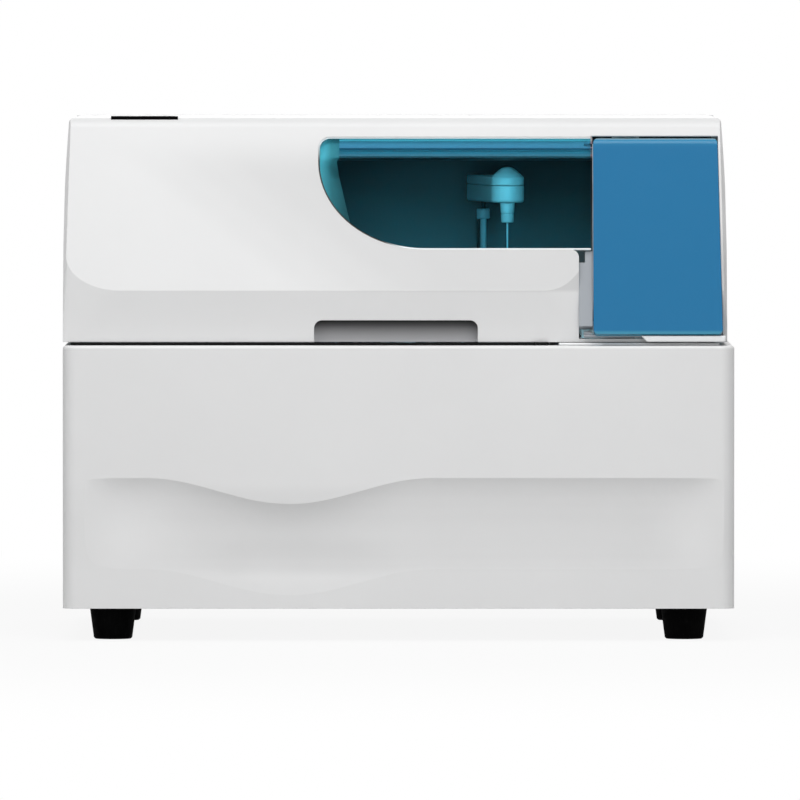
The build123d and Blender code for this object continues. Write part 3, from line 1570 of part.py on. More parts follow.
with BuildPart() as fan_guard:
    with BuildSketch(Plane.XZ.offset(-rear_plate_back - guard_depth)):
        with Locations((fan_x, fan_z)):
            for ring_radius in guard_rings:
                Circle(ring_radius + guard_ring / 2)
                Circle(ring_radius - guard_ring / 2, mode=Mode.SUBTRACT)
            for guard_bar in (45, 135):
                Rectangle(2 * guard_rings[0] + 4 * guard_ring, guard_ring, rotation=guard_bar)
    extrude(amount=guard_depth)
fan_guard.part.label = "fan_guard"
export_step(fan_guard.part, "parts/fan_guard.step")

# Power inlet: a module with the mains socket and the opening for the switch.
switch_well_x = switch_x
with BuildPart() as power_inlet:
    with BuildSketch(Plane.XZ.offset(-rear_plate_back - inlet_face)):
        with Locations((module_x, inlet_z)):
            RectangleRounded(module_width, inlet_height + 2 * inlet_face, inlet_face)
    extrude(amount=inlet_face)
    with BuildSketch(Plane.XZ.offset(-rear_plate_back)):
        with Locations((module_x, inlet_z)):
            Rectangle(module_width - 2 * inlet_face - inlet_fit, inlet_height - inlet_face - inlet_fit)
    extrude(amount=inlet_inside)
    with BuildSketch(Plane.XZ.offset(-rear_plate_back - inlet_face)) as socket_plan:
        with Locations((inlet_x, inlet_z)):
            Rectangle(inlet_socket_width, inlet_socket_height)
        chamfer(socket_plan.vertices().group_by(Axis.Y)[-1], inlet_socket_height / 4)
    extrude(amount=inlet_socket_depth, mode=Mode.SUBTRACT)
    with BuildSketch(Plane.XZ.offset(-rear_plate_back - inlet_face)):
        with Locations((switch_well_x, inlet_z)):
            Rectangle(rocker_width + 2 * rocker_gap, rocker_height + 2 * rocker_gap)
    extrude(amount=rocker_height / 2 + rocker_gap + inlet_face, mode=Mode.SUBTRACT)
    with BuildSketch(Plane.XZ.offset(-rear_plate_back + inlet_pin_back)):
        with Locations((inlet_x, inlet_z)):
            pin_places = [(side * inlet_pin_gap, -inlet_pin_drop) for side in (-1, 1)]
            with Locations((0, inlet_pin_drop), *pin_places):
                Rectangle(inlet_pin_width, inlet_pin_height)
    extrude(amount=inlet_socket_depth)
power_inlet.part.label = "power_inlet"
export_step(power_inlet.part, "parts/power_inlet.step")

# Power switch: a rocker, flat on its two faces, that tips about its middle.
rocker_y = rear_plate_back + rocker_stand
with BuildPart() as power_rocker:
    with BuildSketch(Plane.YZ.offset(switch_well_x - rocker_width / 2)):
        with Locations((rocker_y, inlet_z)):
            Circle(rocker_height / 2)
    extrude(amount=rocker_width)
    with BuildSketch(Plane.YZ.offset(switch_well_x - rocker_width / 2)):
        with BuildLine():
            Polyline(
                (rocker_y + rocker_height, inlet_z + rocker_height),
                (rocker_y + rocker_crown, inlet_z + rocker_height),
                (rocker_y + rocker_dish, inlet_z),
                (rocker_y + rocker_crown, inlet_z - rocker_height),
                (rocker_y + rocker_height, inlet_z - rocker_height),
                close=True,
            )
        make_face()
    extrude(amount=rocker_width, mode=Mode.SUBTRACT)
power_rocker.part.label = "power_rocker"
export_step(power_rocker.part, "parts/power_rocker.step")

# Data ports and hose spigots on the rear panel.
with BuildPart() as port_block:
    with BuildSketch(Plane.XZ.offset(-rear_plate_back - port_depth)):
        with Locations((port_x, port_z)):
            RectangleRounded(port_width, port_height, port_edge)
    extrude(amount=port_depth)
    with BuildSketch(Plane.XZ.offset(-rear_plate_back - port_depth)):
        with Locations((port_x - port_width / 4, port_z)):
            Trapezoid(port_serial_width, port_serial_height, 80, rotation=180)
        with Locations((port_x + port_width / 8, port_z), (port_x + 3 * port_width / 8, port_z)):
            Rectangle(port_usb_width, port_usb_height)
    extrude(amount=port_depth - sheet, mode=Mode.SUBTRACT)
port_block.part.label = "port_block"
export_step(port_block.part, "parts/port_block.step")

with BuildPart() as hose_spigots:
    for spigot_x, spigot_z in spigot_places:
        with BuildSketch(Plane.XY.offset(spigot_z)):
            with BuildLine():
                Polyline(
                    (spigot_x + spigot_bore, rear_plate_back),
                    (spigot_x + spigot_flange_radius, rear_plate_back),
                    (spigot_x + spigot_flange_radius, rear_plate_back + spigot_flange),
                    (spigot_x + spigot_radius, rear_plate_back + spigot_flange),
                    (spigot_x + spigot_radius, rear_plate_back + spigot_length - 5 * spigot_barb),
                    (spigot_x + spigot_radius + spigot_barb, rear_plate_back + spigot_length - 4 * spigot_barb),
                    (spigot_x + spigot_radius - spigot_barb, rear_plate_back + spigot_length),
                    (spigot_x + spigot_bore, rear_plate_back + spigot_length),
                    close=True,
                )
            make_face()
        revolve(axis=Axis((spigot_x, 0, spigot_z), (0, 1, 0)))
hose_spigots.part.label = "hose_spigots"
export_step(hose_spigots.part, "parts/hose_spigots.step")

# Screws: domed heads round the rear panel.
with BuildPart() as panel_screws:
    screw_x_end = half_width - screw_inset
    screw_low_z = foot_height + screw_rise
    screw_high_z = cabinet_top - screw_drop
    screw_places = [(screw_x, screw_low_z) for screw_x in (-screw_x_end, *screw_low_x, screw_x_end)]
    screw_places += [(screw_x, screw_high_z) for screw_x in (-screw_x_end, 0, screw_x_end)]
    for screw_x, screw_z in screw_places:
        with BuildSketch(Plane.XZ.offset(-rear_plate_back)):
            with Locations((screw_x, screw_z)):
                Circle(screw_head_radius)
        extrude(amount=-screw_head_height)
    chamfer(panel_screws.edges().group_by(Axis.Y)[-1], screw_head_height / 2)
panel_screws.part.label = "panel_screws"
export_step(panel_screws.part, "parts/panel_screws.step")

# Power supply: a cased unit with an air grille on its long side.
supply_length, supply_depth, supply_height = supply_size
with BuildPart() as power_supply:
    with BuildSketch(Plane.XY.offset(tray_top)):
        with Locations(supply_place):
            Rectangle(supply_length, supply_depth)
    extrude(amount=supply_height)
    fillet(power_supply.edges().filter_by(Axis.Z), sheet)
    with BuildSketch(Plane.XZ.offset(-supply_place[1] + supply_depth / 2)):
        with Locations((supply_place[0], tray_top + supply_height / 2)):
            with GridLocations(supply_slot_pitch, 0, supply_slots, 1):
                SlotOverall(supply_height / 2, supply_slot_width, rotation=90)
    extrude(amount=-supply_slot_depth, mode=Mode.SUBTRACT)
power_supply.part.label = "power_supply"
export_step(power_supply.part, "parts/power_supply.step")

# Control board: a board on four standoffs with its larger chips.
board_length, board_depth, board_thickness = board_size
board_z = tray_top + board_standoff
with BuildPart() as control_board:
    with BuildSketch(Plane.XY.offset(board_z)):
        with Locations(board_place):
            Rectangle(board_length, board_depth)
    extrude(amount=board_thickness)
    with BuildSketch(Plane.XY.offset(tray_top)):
        with Locations(board_place):
            with GridLocations(
                board_length - 4 * board_standoff_radius, board_depth - 4 * board_standoff_radius, 2, 2
            ):
                Circle(board_standoff_radius)
    extrude(amount=board_standoff)
    with BuildSketch(Plane.XY.offset(board_z + board_thickness)):
        for chip_x, chip_y, chip_side in chip_places:
            with Locations((board_place[0] + chip_x, board_place[1] + chip_y)):
                Rectangle(chip_side, chip_side)
    extrude(amount=chip_height)
control_board.part.label = "control_board"
export_step(control_board.part, "parts/control_board.step")

# Wash pump: a block with a round race and a rotor with rollers in it.
pump_length, pump_depth, pump_height = pump_size
pump_front_y = pump_place[1] - pump_depth / 2
pump_axis_z = tray_top + pump_height / 2
with BuildPart() as wash_pump:
    with BuildSketch(Plane.XY.offset(tray_top)):
        with Locations(pump_place):
            Rectangle(pump_length, pump_depth)
    extrude(amount=pump_height)
    with BuildSketch(Plane.XZ.offset(-pump_front_y)):
        with Locations((pump_place[0], pump_axis_z)):
            Circle(pump_bore)
    extrude(amount=-pump_bore_depth, mode=Mode.SUBTRACT)
    with BuildSketch(Plane.XZ.offset(-pump_front_y)):
        with Locations((pump_place[0], pump_axis_z)):
            Circle(pump_axle_radius + running_clearance)
    extrude(amount=-pump_bore_depth - 2 * pump_axle_radius, mode=Mode.SUBTRACT)
wash_pump.part.label = "wash_pump"
export_step(wash_pump.part, "parts/wash_pump.step")

roller_length = pump_bore_depth - 2 * pump_roller_gap
with BuildPart() as pump_rotor:
    with BuildSketch(Plane.XZ.offset(-pump_front_y)):
        with Locations((pump_place[0], pump_axis_z)):
            Circle(pump_axle_radius)
    extrude(amount=-pump_bore_depth - pump_axle_radius)
    with BuildSketch(Plane.XZ.offset(-pump_front_y - pump_roller_gap)):
        with Locations((pump_place[0], pump_axis_z)):
            with PolarLocations(pump_roller_ring, pump_rollers, 90):
                Circle(pump_roller_radius)
    extrude(amount=-roller_length)
    with BuildSketch(Plane.XZ.offset(-pump_front_y - pump_roller_gap)):
        with Locations((pump_place[0], pump_axis_z)):
            Circle(pump_roller_ring)
    extrude(amount=-sheet)
pump_rotor.part.label = "pump_rotor"
export_step(pump_rotor.part, "parts/pump_rotor.step")

# Syringe: a pump block with its barrel, and a plunger that slides below.
syringe_length, syringe_depth, syringe_height = syringe_size
barrel_y = syringe_place[1] - syringe_depth / 2 - syringe_barrel_radius
with BuildPart() as syringe_pump:
    with BuildSketch(Plane.XY.offset(tray_top)):
        with Locations(syringe_place):
            Rectangle(syringe_length, syringe_depth)
    extrude(amount=syringe_height)
    with BuildSketch(Plane.XY.offset(syringe_barrel_low)):
        with Locations((syringe_place[0], barrel_y)):
            Circle(syringe_barrel_radius)
        with Locations((syringe_place[0], barrel_y + syringe_barrel_radius / 2)):
            Rectangle(2 * syringe_barrel_radius, syringe_barrel_radius)
    extrude(amount=syringe_barrel_height + sheet)
    with BuildSketch(Plane.XY.offset(syringe_barrel_low)):
        with Locations((syringe_place[0], barrel_y)):
            Circle(syringe_bore + running_clearance)
    extrude(amount=syringe_barrel_height, mode=Mode.SUBTRACT)
    with BuildSketch(Plane.XZ.offset(-syringe_place[1] - syringe_depth / 2)):
        with Locations((syringe_place[0], tray_top + syringe_slot_z)):
            Rectangle(syringe_slot_width, syringe_slot_height)
    extrude(amount=syringe_depth / 2, mode=Mode.SUBTRACT)
syringe_pump.part.label = "syringe_pump"
export_step(syringe_pump.part, "parts/syringe_pump.step")

plunger_top = syringe_barrel_low + syringe_barrel_height - plunger_gap
plunger_foot = syringe_barrel_low - plunger_tail
with BuildPart() as syringe_plunger:
    with BuildSketch(Plane.XY.offset(plunger_top - plunger_head)):
        with Locations((syringe_place[0], barrel_y)):
            Circle(syringe_bore)
    extrude(amount=plunger_head)
    with BuildSketch(Plane.XY.offset(plunger_foot)):
        with Locations((syringe_place[0], barrel_y)):
            Circle(plunger_rod_radius)
    extrude(amount=plunger_top - plunger_head - plunger_foot)
    with BuildSketch(Plane.XY.offset(plunger_foot)):
        with Locations((syringe_place[0], barrel_y)):
            Circle(syringe_bore)
    extrude(amount=sheet)
syringe_plunger.part.label = "syringe_plunger"
export_step(syringe_plunger.part, "parts/syringe_plunger.step")

# Photometer: a housing under the deck beside the bath, with its filter wheel.
photo_width, photo_length, photo_height = photometer_size
photo_low = deck_under - photo_height
wheel_z = deck_under - photo_height / 2
wheel_x = photometer_place[0]
with BuildPart() as photometer_housing:
    with BuildSketch(Plane.XY.offset(photo_low)):
        with Locations(photometer_place):
            Rectangle(photo_width, photo_length)
    extrude(amount=photo_height)
    with BuildSketch(Plane.XY.offset(photo_low)):
        with Locations(photometer_place):
            Rectangle(photo_width - 2 * photometer_wall, photo_length - 2 * photometer_wall)
    extrude(amount=photo_height - photometer_wall, mode=Mode.SUBTRACT)
    with BuildSketch(Plane.YZ.offset(wheel_x - photo_width / 2)):
        with Locations((photometer_place[1], wheel_z)):
            Circle(filter_axle_radius + running_clearance)
    extrude(amount=photo_width, mode=Mode.SUBTRACT)
photometer_housing.part.label = "photometer_housing"
export_step(photometer_housing.part, "parts/photometer_housing.step")

with BuildPart() as filter_wheel:
    with BuildSketch(Plane.YZ.offset(wheel_x - filter_wheel_thickness / 2)):
        with Locations((photometer_place[1], wheel_z)):
            Circle(filter_wheel_radius)
            with PolarLocations(filter_ring, filter_count):
                Circle(filter_hole_radius, mode=Mode.SUBTRACT)
    extrude(amount=filter_wheel_thickness)
    with BuildSketch(Plane.YZ.offset(wheel_x - photo_width / 2)):
        with Locations((photometer_place[1], wheel_z)):
            Circle(filter_axle_radius)
    extrude(amount=photo_width)
filter_wheel.part.label = "filter_wheel"
export_step(filter_wheel.part, "parts/filter_wheel.step")
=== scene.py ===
import math

import bpy
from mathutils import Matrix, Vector


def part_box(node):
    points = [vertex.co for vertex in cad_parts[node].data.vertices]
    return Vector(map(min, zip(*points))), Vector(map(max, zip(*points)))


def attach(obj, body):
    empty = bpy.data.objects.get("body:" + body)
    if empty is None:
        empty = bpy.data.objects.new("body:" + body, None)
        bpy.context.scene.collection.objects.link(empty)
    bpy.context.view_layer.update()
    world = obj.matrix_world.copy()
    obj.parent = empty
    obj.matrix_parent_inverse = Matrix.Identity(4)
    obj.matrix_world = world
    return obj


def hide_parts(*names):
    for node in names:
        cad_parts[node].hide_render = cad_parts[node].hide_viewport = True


print("loading the analyzer")
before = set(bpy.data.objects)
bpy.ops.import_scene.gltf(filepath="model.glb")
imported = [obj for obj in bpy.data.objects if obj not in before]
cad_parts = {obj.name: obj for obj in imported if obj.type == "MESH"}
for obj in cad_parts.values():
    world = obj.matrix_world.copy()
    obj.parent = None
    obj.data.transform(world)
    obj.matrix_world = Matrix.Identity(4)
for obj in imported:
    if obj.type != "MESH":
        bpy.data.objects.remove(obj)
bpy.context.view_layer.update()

rightward, backward, upward = (1, 0, 0), (0, 1, 0), (0, 0, 1)
noiseLow, noiseHigh = 0.3, 0.7
grainDepth, peelDepth, brushDepth = 0.0004, 0.0003, 0.0002
softCorner, cornerSamples = 0.0008, 6
smoothAngle, turnedAngle = math.radians(40), math.radians(30)
# a Mix node's colour sockets
firstColor, secondColor, mixedColor = 6, 7, 2


# each finish starts from a Principled shader and reads Object coordinates

def startFinish(name, color, roughness, metallic=0.0):
    finish = bpy.data.materials.new(name)
    finish.use_nodes = True
    tree = finish.node_tree
    shader = tree.nodes["Principled BSDF"]
    shader.inputs["Base Color"].default_value = (*color, 1)
    shader.inputs["Roughness"].default_value = roughness
    shader.inputs["Metallic"].default_value = metallic
    place = tree.nodes.new("ShaderNodeTexCoord")
    return finish, tree, shader, place.outputs["Object"]


def addNoise(tree, place, scale, detail, stretch=(1, 1, 1)):
    mapping = tree.nodes.new("ShaderNodeMapping")
    mapping.inputs["Scale"].default_value = stretch
    noise = tree.nodes.new("ShaderNodeTexNoise")
    noise.inputs["Scale"].default_value = scale
    noise.inputs["Detail"].default_value = detail
    tree.links.new(place, mapping.inputs["Vector"])
    tree.links.new(mapping.outputs["Vector"], noise.inputs["Vector"])
    return noise.outputs["Fac"]


def spread(tree, value, low, high):
    remap = tree.nodes.new("ShaderNodeMapRange")
    remap.inputs["From Min"].default_value = noiseLow
    remap.inputs["From Max"].default_value = noiseHigh
    remap.inputs["To Min"].default_value = low
    remap.inputs["To Max"].default_value = high
    tree.links.new(value, remap.inputs["Value"])
    return remap.outputs["Result"]


def blendColors(tree, factor, first, second):
    mix = tree.nodes.new("ShaderNodeMix")
    mix.data_type = "RGBA"
    mix.inputs["A"].default_value = (*first, 1)
    mix.inputs["B"].default_value = (*second, 1)
    tree.links.new(factor, mix.inputs["Factor"])
    return mix.outputs["Result"]


def addClouds(tree, shader, place, color, shade, scale):
    # faint clouds between the colour and a darker one
    clouds = spread(tree, addNoise(tree, place, scale, 3.0), 0.0, 1.0)
    darker = [channel * shade for channel in color]
    tree.links.new(blendColors(tree, clouds, color, darker), shader.inputs["Base Color"])


def varyRoughness(tree, shader, place, scale, detail, low, high):
    tree.links.new(spread(tree, addNoise(tree, place, scale, detail), low, high), shader.inputs["Roughness"])


def addBump(tree, shader, height, strength, distance, soft=0.0):
    bump = tree.nodes.new("ShaderNodeBump")
    bump.inputs["Strength"].default_value = strength
    bump.inputs["Distance"].default_value = distance
    tree.links.new(height, bump.inputs["Height"])
    if soft:
        # moulded corners catch the light as if slightly rounded
        rounding = tree.nodes.new("ShaderNodeBevel")
        rounding.samples = cornerSamples
        rounding.inputs["Radius"].default_value = soft
        tree.links.new(rounding.outputs["Normal"], bump.inputs["Normal"])
    tree.links.new(bump.outputs["Normal"], shader.inputs["Normal"])


def mouldedPlastic(name, color, roughness=0.4, shade=0.97, grain=0.05, shine=0.5):
    finish, tree, shader, place = startFinish(name, color, roughness)
    addClouds(tree, shader, place, color, shade, 4.0)
    varyRoughness(tree, shader, place, 14.0, 4.0, roughness - 0.04, roughness + 0.05)
    addBump(tree, shader, addNoise(tree, place, 900.0, 2.0), grain, grainDepth, softCorner)
    shader.inputs["Specular IOR Level"].default_value = shine
    return finish


def powderCoat(name, color, roughness=0.5):
    finish, tree, shader, place = startFinish(name, color, roughness)
    addClouds(tree, shader, place, color, 0.975, 5.0)
    varyRoughness(tree, shader, place, 22.0, 4.0, roughness - 0.05, roughness + 0.06)
    addBump(tree, shader, addNoise(tree, place, 520.0, 3.0), 0.12, peelDepth, softCorner)
    return finish


def brushedMetal(name, color, roughness=0.32, stretch=(1, 1, 60), depth=0.08):
    finish, tree, shader, place = startFinish(name, color, roughness, 1.0)
    lines = addNoise(tree, place, 40.0, 6.0, stretch)
    tree.links.new(spread(tree, lines, roughness - 0.08, roughness + 0.12), shader.inputs["Roughness"])
    darker = [channel * 0.86 for channel in color]
    tree.links.new(blendColors(tree, lines, color, darker), shader.inputs["Base Color"])
    addBump(tree, shader, lines, depth, brushDepth)
    return finish


def polishedMetal(name, color, roughness=0.12):
    finish, tree, shader, place = startFinish(name, color, roughness, 1.0)
    varyRoughness(tree, shader, place, 60.0, 4.0, roughness, roughness + 0.1)
    return finish


def mouldedRubber(name, color, roughness, shine=0.15):
    finish, tree, shader, place = startFinish(name, color, roughness)
    dust = spread(tree, addNoise(tree, place, 30.0, 5.0), 0.0, 1.0)
    dusty = [channel * 1.8 + 0.0008 for channel in color]
    tree.links.new(blendColors(tree, dust, color, dusty), shader.inputs["Base Color"])
    varyRoughness(tree, shader, place, 90.0, 3.0, roughness - 0.1, roughness + 0.1)
    addBump(tree, shader, addNoise(tree, place, 700.0, 2.0), 0.15, grainDepth)
    shader.inputs["Specular IOR Level"].default_value = shine
    return finish


def tintedClear(name, seen, lamps, roughness, bend=1.49):
    # seen tints what the camera sees through it, lamps what light passes
    finish, tree, shader, place = startFinish(name, seen, roughness)
    shader.inputs["Transmission Weight"].default_value = 1.0
    shader.inputs["IOR"].default_value = bend
    passing = tree.nodes.new("ShaderNodeBsdfTransparent")
    passing.inputs["Color"].default_value = (*lamps, 1)
    path = tree.nodes.new("ShaderNodeLightPath")
    mix = tree.nodes.new("ShaderNodeMixShader")
    tree.links.new(path.outputs["Is Shadow Ray"], mix.inputs["Fac"])
    tree.links.new(shader.outputs["BSDF"], mix.inputs[1])
    tree.links.new(passing.outputs["BSDF"], mix.inputs[2])
    tree.links.new(mix.outputs["Shader"], tree.nodes["Material Output"].inputs["Surface"])
    return finish


def distanceAlong(tree, place, direction):
    across = tree.nodes.new("ShaderNodeVectorMath")
    across.operation = "DOT_PRODUCT"
    across.inputs[1].default_value = direction
    tree.links.new(place, across.inputs[0])
    return across.outputs["Value"]


def colorRamp(tree, value, stops, joins):
    # colours along a value; stops: (value, colour)
    least, most = stops[0][0], stops[-1][0]
    span = tree.nodes.new("ShaderNodeMapRange")
    span.inputs["From Min"].default_value = least
    span.inputs["From Max"].default_value = most
    tree.links.new(value, span.inputs["Value"])
    ramp = tree.nodes.new("ShaderNodeValToRGB")
    ramp.color_ramp.interpolation = joins
    while len(ramp.color_ramp.elements) < len(stops):
        ramp.color_ramp.elements.new(0.5)
    for element, (mark, color) in zip(ramp.color_ramp.elements, stops):
        element.position = (mark - least) / (most - least)
    # moving an element can change its rank, so the colours follow in their own pass
    for element, (mark, color) in zip(ramp.color_ramp.elements, stops):
        element.color = (*color, 1)
    tree.links.new(span.outputs["Result"], ramp.inputs["Fac"])
    return ramp.outputs["Color"]


def bandedFinish(name, bands, direction, roughness=0.35, shine=0.3):
    # colour bands with soft joins along one direction; bands: (distance, colour)
    finish, tree, shader, place = startFinish(name, bands[0][1], roughness)
    shader.inputs["Specular IOR Level"].default_value = shine
    color = colorRamp(tree, distanceAlong(tree, place, direction), bands, "LINEAR")
    tree.links.new(color, shader.inputs["Base Color"])
    varyRoughness(tree, shader, place, 60.0, 3.0, roughness * 0.95, roughness * 1.1)
    return finish


def shadeWhere(finish, shade, masks):
    # multiplies the colour by shade where all masks are 1; masks: (direction, (distance, mask) stops)
    tree = finish.node_tree
    shader = tree.nodes["Principled BSDF"]
    place = tree.nodes["Texture Coordinate"].outputs["Object"]
    base = shader.inputs["Base Color"].links[0].from_socket
    share = None
    for direction, stops in masks:
        greys = [(mark, (grey, grey, grey)) for mark, grey in stops]
        mask = colorRamp(tree, distanceAlong(tree, place, direction), greys, "EASE")
        if share is None:
            share = mask
            continue
        both = tree.nodes.new("ShaderNodeMath")
        both.operation = "MULTIPLY"
        tree.links.new(share, both.inputs[0])
        tree.links.new(mask, both.inputs[1])
        share = both.outputs["Value"]
    darker = tree.nodes.new("ShaderNodeVectorMath")
    darker.operation = "SCALE"
    darker.inputs["Scale"].default_value = shade
    tree.links.new(base, darker.inputs[0])
    mix = tree.nodes.new("ShaderNodeMix")
    mix.data_type = "RGBA"
    tree.links.new(share, mix.inputs["Factor"])
    tree.links.new(base, mix.inputs[firstColor])
    tree.links.new(darker.outputs["Vector"], mix.inputs[secondColor])
    tree.links.new(mix.outputs[mixedColor], shader.inputs["Base Color"])
    return finish


def seenDirectly(tree):
    # 1 for what the camera sees itself, in a gloss or through glass
    path = tree.nodes.new("ShaderNodeLightPath")
    gloss = tree.nodes.new("ShaderNodeMath")
    gloss.operation = "MAXIMUM"
    tree.links.new(path.outputs["Is Camera Ray"], gloss.inputs[0])
    tree.links.new(path.outputs["Is Glossy Ray"], gloss.inputs[1])
    glass = tree.nodes.new("ShaderNodeMath")
    glass.operation = "MAXIMUM"
    tree.links.new(gloss.outputs[0], glass.inputs[0])
    tree.links.new(path.outputs["Is Transmission Ray"], glass.inputs[1])
    return glass.outputs[0]


def turnTowards(thing, place, aim):
    sight = Vector(aim) - Vector(place)
    thing.rotation_euler = sight.to_track_quat("-Z", "Y").to_euler()


# the cover's front: upright up to the crease, raked above it
faceSlope = {"creaseY": -0.2885, "creaseZ": 0.375, "rake": math.atan2(0.045, 0.185)}
windowShape = {"sill": 0.419, "left": -0.0862, "swoopWide": 0.1146, "swoopHigh": 0.0964}


def onFace(x, z, depth=0.0):
    # a point of the cover's front face, moved inward by depth
    if z < faceSlope["creaseZ"]:
        return Vector((x, faceSlope["creaseY"] + depth, z))
    rake = faceSlope["rake"]
    y = faceSlope["creaseY"] + (z - faceSlope["creaseZ"]) * math.tan(rake)
    return Vector((x, y + depth * math.cos(rake), z - depth * math.sin(rake)))


def windowEdge(z):
    # x of the window's left edge at height z
    run = (z - windowShape["sill"]) / math.cos(faceSlope["rake"])
    if run >= windowShape["swoopHigh"]:
        return windowShape["left"]
    share = 1 - run / windowShape["swoopHigh"]
    return windowShape["left"] + windowShape["swoopWide"] * (1 - math.sqrt(max(0.0, 1 - share * share)))


def selectOnly(piece):
    bpy.ops.object.select_all(action="DESELECT")
    piece.select_set(True)
    bpy.context.view_layer.objects.active = piece


def finishPiece(piece, name, finishName, body):
    piece.name = name
    piece.data.name = name
    piece.data.materials.clear()
    piece.data.materials.append(finishes[finishName])
    selectOnly(piece)
    bpy.ops.object.transform_apply(location=True, rotation=True, scale=True)
    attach(piece, body)
    return piece


def bendStrip(name, points, radius, finishName, body):
    # a thin round strip through the points
    line = bpy.data.curves.new(name, "CURVE")
    line.dimensions = "3D"
    line.bevel_depth = radius
    line.bevel_resolution = 2
    line.use_fill_caps = True
    run = line.splines.new("POLY")
    run.points.add(len(points) - 1)
    for knot, point in zip(run.points, points):
        knot.co = (*point, 1)
    strip = bpy.data.objects.new(name, line)
    bpy.context.scene.collection.objects.link(strip)
    selectOnly(strip)
    bpy.ops.object.convert(target="MESH")
    bpy.ops.object.shade_smooth_by_angle(angle=smoothAngle)
    return finishPiece(bpy.context.object, name, finishName, body)


def closeEditing():
    bpy.ops.mesh.select_all(action="SELECT")
    bpy.ops.mesh.normals_make_consistent(inside=False)
    bpy.ops.object.mode_set(mode="OBJECT")


def turnPiece(name, outline, place, finishName, body, sides=40):
    # round piece from (radius, height) rings, from the foot up
    bpy.ops.object.select_all(action="DESELECT")
    bpy.ops.mesh.primitive_circle_add(vertices=sides, radius=outline[0][0], fill_type="NGON",
                                      location=(*place, outline[0][1]))
    bpy.ops.object.mode_set(mode="EDIT")
    bpy.ops.mesh.select_all(action="SELECT")
    for (radius, height), (nextRadius, nextHeight) in zip(outline, outline[1:]):
        share = nextRadius / radius
        bpy.ops.mesh.extrude_region_move(TRANSFORM_OT_translate={"value": (0, 0, nextHeight - height)})
        bpy.ops.transform.resize(value=(share, share, 1))
    closeEditing()
    bpy.ops.object.shade_smooth_by_angle(angle=turnedAngle)
    return finishPiece(bpy.context.object, name, finishName, body)


